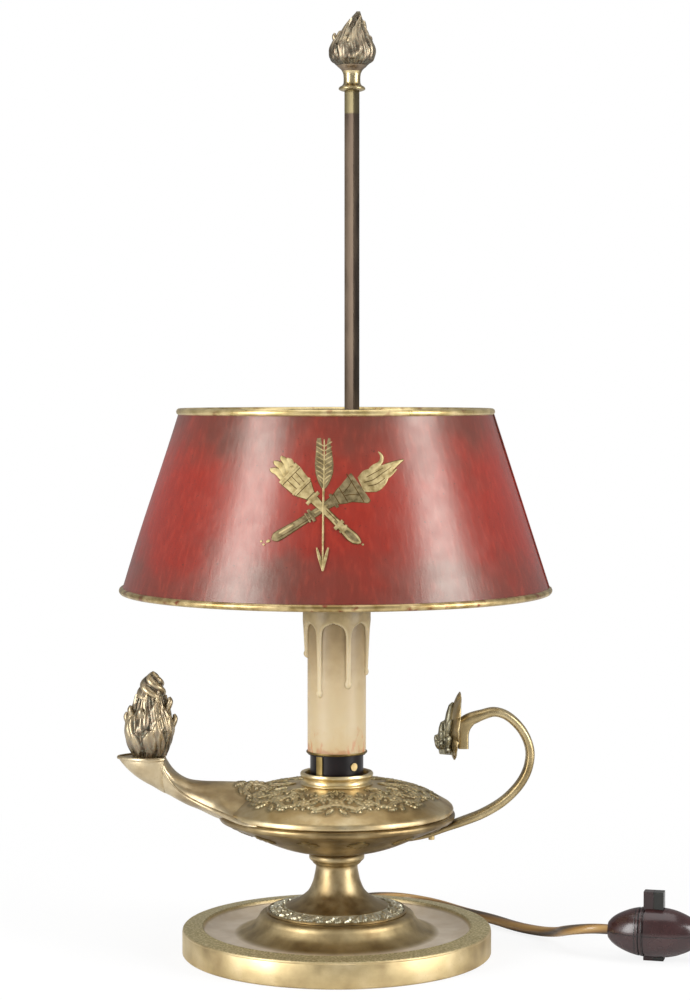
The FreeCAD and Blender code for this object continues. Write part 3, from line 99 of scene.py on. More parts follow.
def middle(node):
    """The middle of a CAD piece's box, in metres."""
    return (low(node) + high(node)) / 2


def smooth_line(points, steps=6):
    """Points on a smooth curve through the given points."""
    line = []
    for i in range(len(points) - 1):
        before = Vector(points[max(i - 1, 0)])
        start = Vector(points[i])
        end = Vector(points[i + 1])
        after = Vector(points[min(i + 2, len(points) - 1)])
        for step in range(steps):
            t = step / steps
            square = 2 * before - 5 * start + 4 * end - after
            cube = 3 * start - before - 3 * end + after
            line.append(0.5 * (2 * start + (end - before) * t + square * t ** 2 + cube * t ** 3))
    line.append(Vector(points[-1]))
    return [tuple(point) for point in line]


def finish_piece(piece, body, slot, *replaced, smooth=35.0):
    """Smooth shading, its body and the nodes it stands for; its material slot is not used."""
    select_only(piece)
    bpy.ops.object.transform_apply(location=True, rotation=True, scale=True)
    bpy.ops.object.shade_smooth_by_angle(angle=math.radians(smooth))
    deselect()
    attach(piece, body)
    if replaced:
        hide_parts(*replaced)
    return piece


def paint(piece, *materials):
    """Puts materials in the piece's slots."""
    piece.data.materials.clear()
    for material in materials:
        piece.data.materials.append(material)


def apply_modifiers(piece):
    """Applies all of a piece's modifiers in their order."""
    select_only(piece)
    for added in list(piece.modifiers):
        bpy.ops.object.modifier_apply(modifier=added.name)


def modifier(piece, kind, **settings):
    """Adds a modifier with its settings."""
    made = piece.modifiers.new(kind.title(), kind)
    for name, value in settings.items():
        setattr(made, name, value)


def round_edges(piece, width_mm, segments, degrees):
    """Rounds the edges that turn by more than an angle."""
    modifier(piece, "BEVEL", width=width_mm * MM, segments=segments, limit_method="ANGLE",
             angle_limit=math.radians(degrees))
    apply_modifiers(piece)


def turned(name, rings, sides=96, at=(0.0, 0.0), closed=True):
    """A turned piece: a circle extruded ring by ring along radius and height pairs, in metres."""
    deselect()
    radius, height = rings[0]
    bpy.ops.mesh.primitive_circle_add(vertices=sides, radius=radius, location=(0, 0, height))
    piece = bpy.context.object
    piece.name = name
    bpy.ops.object.mode_set(mode="EDIT")
    for next_radius, next_height in rings[1:]:
        move = (0, 0, next_height - height)
        bpy.ops.mesh.extrude_edges_move(TRANSFORM_OT_translate={"value": move})
        grow = next_radius / radius
        bpy.ops.transform.resize(value=(grow, grow, 1), center_override=(0, 0, next_height))
        radius = next_radius
        height = next_height
    if closed:
        bpy.ops.mesh.select_all(action="DESELECT")
        bpy.ops.mesh.select_mode(type="EDGE")
        bpy.ops.mesh.select_non_manifold()
        bpy.ops.mesh.bridge_edge_loops()
    bpy.ops.mesh.select_all(action="SELECT")
    bpy.ops.mesh.normals_make_consistent(inside=False)
    bpy.ops.object.mode_set(mode="OBJECT")
    piece.location.x += at[0]
    piece.location.y += at[1]
    bpy.ops.object.transform_apply(location=True, rotation=True, scale=True)
    return piece


def close_ends(piece):
    """Caps the open ends of a tube."""
    select_only(piece)
    bpy.ops.object.mode_set(mode="EDIT")
    bpy.ops.mesh.select_all(action="DESELECT")
    bpy.ops.mesh.select_mode(type="EDGE")
    bpy.ops.mesh.select_non_manifold()
    bpy.ops.mesh.edge_face_add()
    bpy.ops.object.mode_set(mode="OBJECT")


def points_of(piece):
    """The vertices and normals of a mesh as arrays."""
    count = len(piece.data.vertices)
    places = np.zeros(count * 3)
    normals = np.zeros(count * 3)
    piece.data.vertices.foreach_get("co", places)
    piece.data.vertices.foreach_get("normal", normals)
    return places.reshape(-1, 3), normals.reshape(-1, 3)


def put_points(piece, places):
    """Moves the vertices of a mesh to the places in an array."""
    piece.data.vertices.foreach_set("co", places.ravel())
    piece.data.update()


def mark(piece, name, values):
    """Keeps a value for each vertex, under a name that a material reads."""
    piece.data.attributes.new(name, "FLOAT", "POINT").data.foreach_set("value", values)


def polar(places):
    """Distances from the upright axis in millimetres, and angles round it in radians."""
    return np.hypot(places[:, 0], places[:, 1]) / MM, np.arctan2(places[:, 1], places[:, 0])


def push_out(piece, heights, most):
    """Moves vertices along their normals, and keeps how far as the attribute raised."""
    places, normals = points_of(piece)
    put_points(piece, places + normals * heights[:, None])
    mark(piece, "raised", np.clip(heights / most, 0, 1))


def leaf_height(across_x, across_y, angle, half_length, half_width, veins=3):
    """Height from 0 to 1 of a leaf on arrays of places, centred on zero, with a notched edge."""
    along = across_x * math.cos(angle) + across_y * math.sin(angle)
    side = -across_x * math.sin(angle) + across_y * math.cos(angle)
    reach = np.clip(along / half_length, -1, 1)
    width = half_width * (1 - reach ** 2) ** 0.6 * (0.82 + 0.18 * np.cos(veins * 2 * math.pi * reach))
    share = np.abs(side) / np.maximum(width, 1e-7)
    body = np.sqrt(np.clip(1 - share ** 2, 0, 1))
    rib = 1 - 0.4 * np.exp(-(side / (0.16 * half_width)) ** 2)
    return np.where(np.abs(along) < half_length, body * rib, 0)


def wrapped(angles, repeats):
    """Angles brought to the middle of the nearest of several repeats, in radians."""
    step = 2 * math.pi / repeats
    return (angles + step / 2) % step - step / 2


# Materials


def add_node(tree, kind, *inputs, stops=(), **settings):
    """Adds a node with its settings and links, and gives back its outputs. Inputs are in the node's own
    order, or named in_Name or in_number. Each is a value, an sRGB hex colour or another node's output.
    Stops are the places and colours of a ramp."""
    node = tree.nodes.new("ShaderNode" + kind)
    filled = dict(enumerate(inputs))
    for name, value in settings.items():
        if name.startswith("in_"):
            key = name[3:]
            filled[int(key) if key.isdigit() else key] = value
        else:
            setattr(node, name, value)
    for key, value in filled.items():
        if isinstance(value, bpy.types.NodeSocket):
            tree.links.new(value, node.inputs[key])
        else:
            node.inputs[key].default_value = colour(value)
    for _ in stops[2:]:
        node.color_ramp.elements.new(0.5)
    if stops:
        for element, (at, tone) in zip(node.color_ramp.elements, stops):
            element.position = at
            element.color = colour(tone)
    return node.outputs


def colour(value):
    """An sRGB hex colour as linear red, green, blue and alpha; any other value as it is."""
    return (*linear(value), 1.0) if isinstance(value, str) else value


def spots(size_mm):
    """The scale of a noise whose spots are about that many millimetres across."""
    return 1 / (size_mm * MM)


def new_material(name, **values):
    """A material, its tree, its shader and object coordinates; the values are the shader's uniform ones."""
    material = bpy.data.materials.new(name)
    material.use_nodes = True
    tree = material.node_tree
    tree.nodes.clear()
    shader = tree.nodes.new("ShaderNodeBsdfPrincipled")
    add_node(tree, "OutputMaterial", shader.outputs[0])
    for key, value in values.items():
        shader.inputs[key.replace("_", " ")].default_value = value
    return material, tree, shader, add_node(tree, "TexCoord")["Object"]


def feed(tree, shader, **sources):
    """Links outputs to the shader's inputs of these names."""
    for key, source in sources.items():
        tree.links.new(source, shader.inputs[key.replace("_", " ")])


def brass(name, bright, mid, dark, roughness, patina=0.4, green=0.0, spots_mm=9.0, pits_mm=0.03):
    """Cast and turned brass: a warm metal, browner where it has aged, with fine pits and wear."""
    material, tree, shader, place = new_material(name, Metallic=1.0)
    tone, fine = brass_tone(tree, place, bright, mid, dark, patina, spots_mm)
    if green:
        cloud = add_node(tree, "TexNoise", place, in_Scale=spots(5.0), in_Detail=6.0)[0]
        moss = add_node(tree, "MapRange", cloud, 0.60, 0.70, 0.0, green)[0]
        tone = add_node(tree, "Mix", moss, in_6=tone, in_7="8b8f6e", data_type="RGBA")[2]
    finish_brass(tree, shader, place, tone, fine, roughness, pits_mm)
    return material


def brass_tone(tree, place, bright, mid, dark, patina, spots_mm):
    """Clouds of lighter and darker metal with a scatter of dark pits, and the pits' own pattern."""
    broad = add_node(tree, "TexNoise", place, in_Scale=spots(spots_mm), in_Detail=4.0)[0]
    fine = add_node(tree, "TexNoise", place, in_Scale=spots(0.9), in_Detail=5.0)[0]
    tone = add_node(tree, "ValToRGB", broad, stops=((0.28, dark), (0.50, mid), (0.74, bright)))[0]
    specks = add_node(tree, "MapRange", fine, 0.60, 0.72, 0.0, patina)[0]
    return add_node(tree, "Mix", specks, in_6=tone, in_7=dark, data_type="RGBA")[2], fine


def finish_brass(tree, shader, place, tone, fine, roughness, pits_mm=0.03):
    """Wear that varies the gloss, and fine pits where the metal is cast."""
    wear = add_node(tree, "TexNoise", place, in_Scale=spots(4.0), in_Detail=5.0 if pits_mm else 1.0)[0]
    rough = add_node(tree, "MapRange", wear, 0.3, 0.7, roughness - 0.05, roughness + 0.09)[0]
    feed(tree, shader, Base_Color=tone, Roughness=rough)
    if pits_mm:
        feed(tree, shader, Normal=add_node(tree, "Bump", 0.25, pits_mm * MM, in_Height=fine)[0])


def foot_brass():
    """The foot: golden at its edge, stippled olive on the rim's top, and near-white and less metallic in the
    dish, a painted reflection of the pale room.
    """
    material, tree, shader, place = new_material("brass_foot")
    tone = brass_tone(tree, place, "d8c69e", "c1ad82", "a18c66", 0.3, 16.0)[0]
    parts = add_node(tree, "SeparateXYZ", place)
    flat = add_node(tree, "CombineXYZ", parts[0], parts[1])[0]
    away = add_node(tree, "VectorMath", flat, operation="LENGTH")["Value"]
    # The dish lies from 46 to 64 mm out, between a hump and a rim whose top is above 12.2 mm
    inner = add_node(tree, "MapRange", away, 0.0648, 0.0640)[0]
    cloud = add_node(tree, "TexNoise", place, in_Scale=spots(11.0), in_Detail=4.0)[0]
    # Painted reflection: the dish's near-white tone stands in for the pale room it reflects
    pale_painted_reflection = add_node(tree, "ValToRGB", cloud, stops=((0.3, "e6d5bc"), (0.7, "fbeedb")))[0]
    beyond = add_node(tree, "MapRange", away, 0.046, 0.050)[0]
    dish = add_node(tree, "Math", inner, beyond, operation="MULTIPLY")[0]
    tone = add_node(tree, "Mix", dish, in_6=tone, in_7=pale_painted_reflection, data_type="RGBA")[2]
    hump = brass_tone(tree, place, "c9b68c", "b09c73", "8e7a56", 0.3, 12.0)[0]
    within = add_node(tree, "MapRange", away, 0.050, 0.046)[0]
    tone = add_node(tree, "Mix", within, in_6=tone, in_7=hump, data_type="RGBA")[2]
    on_top = add_node(tree, "MapRange", parts[2], 0.0122, 0.0127)[0]
    outer = add_node(tree, "MapRange", away, 0.0646, 0.0652)[0]
    rim = add_node(tree, "Math", on_top, outer, operation="MULTIPLY")[0]
    stipple = add_node(tree, "TexNoise", place, in_Scale=spots(1.1), in_Detail=3.0)[0]
    stops = ((0.38, "a99c75"), (0.56, "c8bb92"), (0.72, "dfd4ae"))
    stippled = add_node(tree, "ValToRGB", stipple, stops=stops)[0]
    tone = add_node(tree, "Mix", rim, in_6=tone, in_7=stippled, data_type="RGBA")[2]
    metal = add_node(tree, "MapRange", dish, 0.0, 1.0, 1.0, 0.80)[0]
    wear = add_node(tree, "TexNoise", place, in_Scale=spots(4.0), in_Detail=5.0)[0]
    rough = add_node(tree, "MapRange", wear, 0.3, 0.7, 0.40, 0.50)[0]
    rougher = add_node(tree, "Math", rim, 0.12, operation="MULTIPLY")[0]
    total = add_node(tree, "Math", rough, rougher, operation="ADD")[0]
    drawn = add_node(tree, "Mapping", place, in_Scale=(0.25, 0.25, 3.0))[0]
    scratches = add_node(tree, "TexNoise", drawn, in_Scale=spots(1.4), in_Detail=4.0)[0]
    worked = add_node(tree, "Mix", rim, in_6=scratches, in_7=stipple, data_type="RGBA")[2]
    skin = add_node(tree, "Bump", 0.30, 0.10 * MM, in_Height=worked)[0]
    feed(tree, shader, Metallic=metal, Base_Color=tone, Roughness=total, Normal=skin)
    return material


def ornament_brass(name, bright, mid, dark, roughness, hollow="4a3c26", green="8e9478", spots_mm=8.0):
    """Cast brass ornament: a painted highlight on its high places, dull brown and grey-green patina round
    them.
    """
    material, tree, shader, place = new_material(name, Metallic=1.0)
    tone, fine = brass_tone(tree, place, bright, mid, dark, 0.35, spots_mm)
    raised = add_node(tree, "Attribute", attribute_name="raised")["Fac"]
    # The ground close round the relief: patina and painted shade
    sunk = add_node(tree, "Attribute", attribute_name="sunk")["Fac"]
    foot = add_node(tree, "MapRange", raised, 0.01, 0.08)[0]
    top = add_node(tree, "MapRange", raised, 0.45, 0.14)[0]
    low_place = add_node(tree, "Math", foot, top, operation="MULTIPLY")[0]
    patches = add_node(tree, "MapRange", fine, 0.47, 0.60)[0]
    moss = add_node(tree, "Math", foot, patches, operation="MULTIPLY")[0]
    # Patina on the relief's slopes, patina and painted shade on the ground round it, a painted highlight on
    # its high places
    for source, start, end, most, over in ((low_place, 0.0, 1.0, 0.8, hollow),
                                           (sunk, 0.0, 1.0, 0.5, hollow),
                                           (moss, 0.0, 1.0, 0.45, green),
                                           (raised, 0.50, 0.95, 0.75, bright)):
        share = add_node(tree, "MapRange", source, start, end, 0.0, most)[0]
        tone = add_node(tree, "Mix", share, in_6=tone, in_7=over, data_type="RGBA")[2]
    finish_brass(tree, shader, place, tone, fine, roughness)
    return material


def rod_brass():
    """The rod: brass gone brown in the air, still golden for a finger's breadth under its socket."""
    material, tree, shader, place = new_material("brown_rod_brass", Metallic=1.0)
    height = add_node(tree, "SeparateXYZ", place)[2]
    long_way = add_node(tree, "Mapping", place, in_Scale=(1.0, 1.0, 0.3))[0]
    cloud = add_node(tree, "TexNoise", long_way, in_Scale=spots(6.0), in_Detail=5.0)[0]
    tone = add_node(tree, "ValToRGB", cloud, stops=((0.32, "3b322b"), (0.66, "52473c")))[0]
    top = add_node(tree, "MapRange", height, 0.4074, 0.4082)[0]
    tone = add_node(tree, "Mix", top, in_6=tone, in_7="5f5740", data_type="RGBA")[2]
    rough = add_node(tree, "MapRange", cloud, 0.3, 0.7, 0.34, 0.48)[0]
    drawn = add_node(tree, "Mapping", place, in_Scale=(1.0, 1.0, 0.2))[0]
    lines = add_node(tree, "TexNoise", drawn, in_Scale=spots(0.9), in_Detail=3.0)[0]
    skin = add_node(tree, "Bump", 0.4, 0.04 * MM, in_Height=lines)[0]
    feed(tree, shader, Base_Color=tone, Roughness=rough, Normal=skin)
    return material


def plain_metal(name, tone, roughness):
    """Plated or drawn metal that hides inside the lamp: even, with a faint cloudiness."""
    material, tree, shader, place = new_material(name, Metallic=1.0)
    cloud = add_node(tree, "TexNoise", place, in_Scale=spots(3.0), in_Detail=3.0)[0]
    dull = (*(value * 0.72 for value in linear(tone)), 1.0)
    tones = add_node(tree, "ValToRGB", cloud, stops=((0.35, dull), (0.65, tone)))[0]
    rough = add_node(tree, "MapRange", cloud, 0.3, 0.7, roughness, roughness + 0.12)[0]
    feed(tree, shader, Base_Color=tones, Roughness=rough)
    return material


def moulded(name, tone, second, roughness, coat=0.0, grain_mm=6.0, gloss=0.4):
    """Moulded bakelite or hard plastic: deep colour with a faint mottle and a glossy skin."""
    material, tree, shader, place = new_material(
        name, Specular_IOR_Level=gloss, Coat_Weight=coat, Coat_Roughness=0.12)
    cloud = add_node(tree, "TexNoise", place, in_Scale=spots(grain_mm), in_Detail=4.0)[0]
    tones = add_node(tree, "ValToRGB", cloud, stops=((0.35, tone), (0.70, second)))[0]
    rough = add_node(tree, "MapRange", cloud, 0.3, 0.7, roughness, roughness + 0.1)[0]
    grain = add_node(tree, "TexNoise", place, in_Scale=spots(0.7), in_Detail=2.0)[0]
    skin = add_node(tree, "Bump", 0.3, 0.02 * MM, in_Height=grain)[0]
    feed(tree, shader, Base_Color=tones, Roughness=rough, Normal=skin)
    return material


def switch_finish(name, first, second, rings, split=False):
    """The switch's maroon bakelite: two halves that meet in a level line, turned rings round them at
    distances along it in millimetres, or a push bar split into a maroon and a dark green-grey half."""
    coat = 0.0 if split else 0.2
    material, tree, shader, place = new_material(name, Coat_Weight=coat, Coat_Roughness=0.12)
    cloud = add_node(tree, "TexNoise", place, in_Scale=spots(9.0), in_Detail=4.0)[0]
    tone = add_node(tree, "ValToRGB", cloud, stops=((0.35, first), (0.70, second)))[0]
    centre = tuple(value * MM for value in SWITCH_CENTRE)
    moved = add_node(tree, "VectorMath", place, centre, operation="SUBTRACT")[0]
    turn = math.radians(SWITCH_TURN)
    along_axis = (math.cos(turn), math.sin(turn), 0.0)
    along = add_node(tree, "VectorMath", moved, along_axis, operation="DOT_PRODUCT")["Value"]
    height = add_node(tree, "SeparateXYZ", moved)[2]
    lines = line_at(tree, along if split else height, 0.0, 0.22)
    if split:
        right = add_node(tree, "MapRange", along, 0.0, 0.3 * MM)[0]
        tone = add_node(tree, "Mix", right, in_6=tone, in_7="14140f", data_type="RGBA")[2]
    for distance in rings:
        ring = line_at(tree, along, distance, 0.32)
        lines = add_node(tree, "Math", lines, ring, operation="MAXIMUM")[0]
    tone = add_node(tree, "Mix", lines, in_6=tone, in_7="0c0706", data_type="RGBA")[2]
    rough = add_node(tree, "MapRange", cloud, 0.3, 0.7, 0.22, 0.30)[0]
    cut = add_node(tree, "MapRange", lines, 0.0, 1.0, 1.0, 0.0)[0]
    skin = add_node(tree, "Bump", 0.9, 0.3 * MM, in_Height=cut)[0]
    feed(tree, shader, Base_Color=tone, Roughness=rough, Normal=skin)
    return material


def line_at(tree, source, middle_mm, half_mm):
    """One on a soft line where a length is near a value, zero elsewhere."""
    apart = add_node(tree, "Math", source, middle_mm * MM, operation="SUBTRACT")[0]
    size = add_node(tree, "Math", apart, operation="ABSOLUTE")[0]
    return add_node(tree, "MapRange", size, half_mm * MM, half_mm * 0.4 * MM)[0]


def wandering_share(tree, place, z_low, z_high, size_mm, detail, wander):
    """How far up between two heights a place lies, from 0 to 1, with an edge that wanders, in metres."""
    height = add_node(tree, "SeparateXYZ", place)[2]
    cloud = add_node(tree, "TexNoise", place, in_Scale=spots(size_mm), in_Detail=detail)[0]
    shift = add_node(tree, "MapRange", cloud, 0.3, 0.7, -wander, wander)[0]
    bent = add_node(tree, "Math", height, shift, operation="ADD")[0]
    return add_node(tree, "MapRange", bent, z_low, z_high)[0]


def red_lacquer(z_low, z_high):
    """Stoving enamel on tin: warm red, browned by heat near both edges, brushed upright,
    with fly specks and a hard gloss that has dulled in patches."""
    material, tree, shader, place = new_material(
        "red_lacquer_on_tin", Specular_IOR_Level=0.62, Specular_Tint=(1.0, 0.97, 0.84, 1.0),
        Coat_Weight=0.30, Coat_Roughness=0.24)
    share = wandering_share(tree, place, z_low, z_high, 26.0, 3.0, 0.012)
    stops = ((0.0, "5f2117"), (0.13, "672117"), (0.32, "78180b"), (0.62, "801808"), (0.80, "702317"),
             (1.0, "5f241a"))
    tone = add_node(tree, "ValToRGB", share, stops=stops)[0]
    brushed = add_node(tree, "Mapping", place, in_Scale=(1.0, 1.0, 0.05))[0]
    streaks = add_node(tree, "TexNoise", brushed, in_Scale=spots(2.4), in_Detail=5.0)[0]
    blot = add_node(tree, "TexNoise", place, in_Scale=spots(30.0), in_Detail=6.0)[0]
    patches = add_node(tree, "MapRange", blot, 0.48, 0.66)[0]
    from_edge = add_node(tree, "Math", share, 0.5, operation="PINGPONG")[0]
    near_edge = add_node(tree, "MapRange", from_edge, 0.34, 0.12)[0]
    stain = add_node(tree, "Math", patches, near_edge, operation="MULTIPLY")[0]
    fly = add_node(tree, "TexNoise", place, in_Scale=spots(1.4), in_Detail=2.0)[0]
    for source, start, end, most, over in ((streaks, 0.50, 0.75, 0.16, "b8452f"),
                                           (streaks, 0.48, 0.28, 0.18, "5c190f"),
                                           (stain, 0.0, 1.0, 0.5, "4c261c"),
                                           (fly, 0.69, 0.73, 0.7, "3d140d")):
        part = add_node(tree, "MapRange", source, start, end, 0.0, most)[0]
        tone = add_node(tree, "Mix", part, in_6=tone, in_7=over, data_type="RGBA")[2]
    wear = add_node(tree, "TexNoise", place, in_Scale=spots(7.0), in_Detail=6.0)[0]
    rough = add_node(tree, "MapRange", wear, 0.3, 0.7, 0.30, 0.40)[0]
    skin = add_node(tree, "Bump", 0.3, 0.25 * MM, in_Height=streaks)[0]
    feed(tree, shader, Base_Color=tone, Roughness=rough, Normal=skin)
    return material


def gilt_paint(name, bright, dark, red=0.0, roughness=0.42, grain_mm=2.6):
    """Bronze powder paint: thin gold, rubbed through in places."""
    material, tree, shader, place = new_material(name, Metallic=0.8)
    cloud = add_node(tree, "TexNoise", place, in_Scale=spots(grain_mm), in_Detail=6.0)[0]
    tone = add_node(tree, "ValToRGB", cloud, stops=((0.36, dark), (0.62, bright)))[0]
    if red:
        wear = add_node(tree, "TexNoise", place, in_Scale=spots(5.0), in_Detail=6.0)[0]
        rubbed = add_node(tree, "MapRange", wear, 0.58, 0.68, 0.0, red)[0]
        tone = add_node(tree, "Mix", rubbed, in_6=tone, in_7="7a3526", data_type="RGBA")[2]
    rough = add_node(tree, "MapRange", cloud, 0.3, 0.7, roughness, roughness + 0.12)[0]
    skin = add_node(tree, "Bump", 0.25, 0.03 * MM, in_Height=cloud)[0]
    feed(tree, shader, Base_Color=tone, Roughness=rough, Normal=skin)
    return material


def candle_card(z_low, z_high):
    """A card candle tube dipped in wax: ivory, darkened towards the top by the shade's painted shadow,
    stained orange at its foot, with a painted highlight along the wax's edges.
    """
    material, tree, shader, place = new_material(
        "waxed_candle_card", Roughness=0.42, Subsurface_Weight=0.15,
        Subsurface_Radius=(0.004, 0.0025, 0.0012), Subsurface_Scale=1.0)
    share = wandering_share(tree, place, z_low, z_high, 6.0, 5.0, 0.004)
    stops = ((0.0, "a8805a"), (0.04, "b49e78"), (0.16, "b8a684"), (0.42, "b4a07d"), (0.62, "9c8763"),
             (0.80, "7f6b49"), (1.0, "665434"))
    tone = add_node(tree, "ValToRGB", share, stops=stops)[0]
    runs = add_node(tree, "Mapping", place, in_Scale=(1.0, 1.0, 0.35))[0]
    cloud = add_node(tree, "TexNoise", runs, in_Scale=spots(2.2), in_Detail=4.0)[0]
    patches = add_node(tree, "MapRange", cloud, 0.55, 0.66)[0]
    foot = add_node(tree, "MapRange", share, 0.16, 0.02)[0]
    stain = add_node(tree, "Math", patches, foot, operation="MULTIPLY")[0]
    tone = add_node(tree, "Mix", stain, in_6=tone, in_7="b06f45", data_type="RGBA")[2]
    raised = add_node(tree, "Attribute", attribute_name="raised")["Fac"]
    # The wax skirt also darkens towards the top: the shade's painted shadow
    stops = ((0.35, "b6a47e"), (0.80, "9f8c65"), (0.90, "7c6a44"), (1.0, "665432"))
    skirt = add_node(tree, "ValToRGB", share, stops=stops)[0]
    on_skirt = add_node(tree, "MapRange", raised, 0.05, 0.3)[0]
    tone = add_node(tree, "Mix", on_skirt, in_6=tone, in_7=skirt, data_type="RGBA")[2]
    # A painted highlight along the edges of the wax
    above = add_node(tree, "MapRange", raised, 0.1, 0.3)[0]
    below = add_node(tree, "MapRange", raised, 0.95, 0.6)[0]
    ridge_painted_highlight = add_node(tree, "Math", above, below, operation="MULTIPLY")[0]
    light = add_node(tree, "MapRange", ridge_painted_highlight, 0.0, 1.0, 0.0, 0.7)[0]
    tone = add_node(tree, "Mix", light, in_6=tone, in_7="c9b998", data_type="RGBA")[2]
    dimples = add_node(tree, "TexNoise", place, in_Scale=spots(1.2), in_Detail=4.0)[0]
    skin = add_node(tree, "Bump", 0.3, 0.06 * MM, in_Height=dimples)[0]
    feed(tree, shader, Base_Color=tone, Normal=skin)
    return material


def twin_flex():
    """Old twin flex: two cores side by side under a gold-brown skin, with a slow turn along its length; the
    dark bands between the cores are painted shade and the light bands along them painted highlight.
    """
    material, tree, shader, _ = new_material("gold_brown_twin_flex", Roughness=0.38, Coat_Weight=0.25)
    parts = add_node(tree, "SeparateXYZ", add_node(tree, "TexCoord")["UV"])
    turns = add_node(tree, "Math", parts[0], CORD_TWISTS, operation="MULTIPLY")[0]
    wound = add_node(tree, "Math", turns, parts[1], operation="ADD")[0]
    circle = add_node(tree, "Math", wound, 4 * math.pi, operation="MULTIPLY")[0]
    wave = add_node(tree, "Math", circle, operation="SINE")[0]
    share = add_node(tree, "MapRange", wave, -1.0, 1.0)[0]
    # Dark bands for painted shade between the cores, light bands for painted highlight along them
    stops = ((0.0, "3f3120"), (0.22, "6b5231"), (0.62, "8f6b3a"), (1.0, "a98650"))
    tone = add_node(tree, "ValToRGB", share, stops=stops)[0]
    skin = add_node(tree, "Bump", 0.8, 0.6 * MM, in_Height=share)[0]
    feed(tree, shader, Base_Color=tone, Normal=skin)
    return material


def clouded(name, size_mm, detail, stops, bump_mm=0.0, strength=0.0, **values):
    """A plain surface in two tones, with a bump as deep as it says."""
    material, tree, shader, place = new_material(name, **values)
    cloud = add_node(tree, "TexNoise", place, in_Scale=spots(size_mm), in_Detail=detail)[0]
    feed(tree, shader, Base_Color=add_node(tree, "ValToRGB", cloud, stops=stops)[0])
    if bump_mm:
        feed(tree, shader, Normal=add_node(tree, "Bump", strength, bump_mm * MM, in_Height=cloud)[0])
    return material


def cream_paint():
    """The shade's inside: oil paint, once white, yellowed by the bulb."""
    tones = ((0.35, "cdbf9b"), (0.68, "ddd2b4"))
    return clouded("cream_inside_paint", 18.0, 5.0, tones, Roughness=0.6)


def frosted_glass():
    """The bulb's envelope: thin glass, etched inside so that the light is soft."""
    tones = ((0.3, "e9e4d8"), (0.7, "f2efe6"))
    return clouded("frosted_bulb_glass", 4.0, 2.0, tones, Transmission_Weight=0.6, Roughness=0.35, IOR=1.5)


def wool_felt():
    """Pressed wool under the foot: dull green with short loose fibres."""
    tones = ((0.3, "26361f"), (0.7, "41563a"))
    return clouded("green_wool_felt", 0.6, 6.0, tones, 0.2, 0.6, Roughness=0.95, Sheen_Weight=0.4)


def bare_wire():
    """Insulated wire and the cord's tie: dull woven cotton over rubber."""
    tones = ((0.3, "1f1a12"), (0.7, "3a3122"))
    return clouded("dark_cotton_cover", 0.8, 4.0, tones, 0.1, 0.5, Roughness=0.8)


# Camera and cord values, in millimetres except the camera's place and the cord's diameter

# The camera stands this far in front of the lamp's axis, at this height, looking a little down
CAMERA_PLACE = (0.004, -1.1568, 0.2746)
CAMERA_PITCH = 2.7
CAMERA_LENS = 86.4

CORD_D = 0.005
CORD_TWISTS = 13.0
# The cord's route from the grommet to the switch, from the switch to the coil, and to the plug
LEAD = ((9.6, 91.2, 5.8), (14.8, 99.2, 5.2), (23.0, 104.1, 4.7), (32.5, 104.7, 4.3), (41.3, 100.4, 4.0),
        (53.5, 89.5, 3.8), (66.0, 71.0, 3.5), (79.5, 57.5, 3.2), (90.5, 41.2, 2.8), (102.0, 28.8, 3.2),
        (108.8, 17.1, 5.6), (111.3, 5.4, 9.0), (116.5, -4.3, 11.9), (124.1, -10.0, 13.6))
TAIL = ((179.4, -24.8, 13.2), (187.6, -28.4, 9.7), (197.0, -34.9, 4.0))
END = ((251.8, 6.2, 20.4), (252.6, 14.6, 18.2), (253.7, 23.6, 15.0))
SWITCH_CENTRE = (152.2, -17.5, 13.6)
SWITCH_TURN = -15.0
SWITCH_HALF = 22.0
GROMMET_END = (9.09, 86.52, 5.8)
PLUG_BACK = (254.0, 32.0, 14.3)
COIL_CENTRE = (219.0, -6.0)
COIL_LOW = 3.7
COIL_OUT_R = 32.6
COIL_STEP = 5.6
COIL_LAYERS = 4
COIL_START = 260.0
COIL_TURNS = 8 + 100.0 / 360.0
COIL_POINTS_PER_TURN = 14


# The cord


def along_turn(centre, degrees, distance):
    """A point level with a centre, at a distance from it in a direction."""
    turn = math.radians(degrees)
    return Vector(centre) + Vector((math.cos(turn), math.sin(turn), 0)) * distance


def coil_place(turns):
    """Radius and height of the coil's line after a number of turns, in millimetres."""
    span = (COIL_TURNS - 0.5 * (COIL_LAYERS - 1)) / COIL_LAYERS
    layer = min(int(turns / (span + 0.5)), COIL_LAYERS - 1)
    rest = turns - layer * (span + 0.5)
    inward = layer % 2 == 0
    travelled = COIL_STEP * min(rest, span)
    radius = COIL_OUT_R - travelled if inward else COIL_OUT_R - COIL_STEP * span + travelled
    height = COIL_LOW + COIL_STEP * layer
    if rest > span:
        over = rest - span
        dip = COIL_STEP * (over - 2 * over ** 2)
        radius += -dip if inward else dip
        part = over / 0.5
        height += COIL_STEP * part * part * (3 - 2 * part)
    return radius, height


def coil_points():
    """The put-away length: a run straight in, the turns, and a run straight out."""
    # The spline runs inside its control points by this share of the radius
    inside = math.cos(math.pi / COIL_POINTS_PER_TURN)
    count = round(COIL_TURNS * COIL_POINTS_PER_TURN)
    turns = []
    for i in range(count + 1):
        done = COIL_TURNS * i / count
        radius, height = coil_place(done)
        angle = math.radians(COIL_START) + 2 * math.pi * done
        turns.append(Vector((COIL_CENTRE[0] + radius / inside * math.cos(angle),
                             COIL_CENTRE[1] + radius / inside * math.sin(angle), height)))
    straight_in = turns[0] - (turns[1] - turns[0]).normalized() * CORD_D / MM
    straight_out = turns[-1] + (turns[-1] - turns[-2]).normalized() * CORD_D / MM
    return [straight_in] + turns + [straight_out]


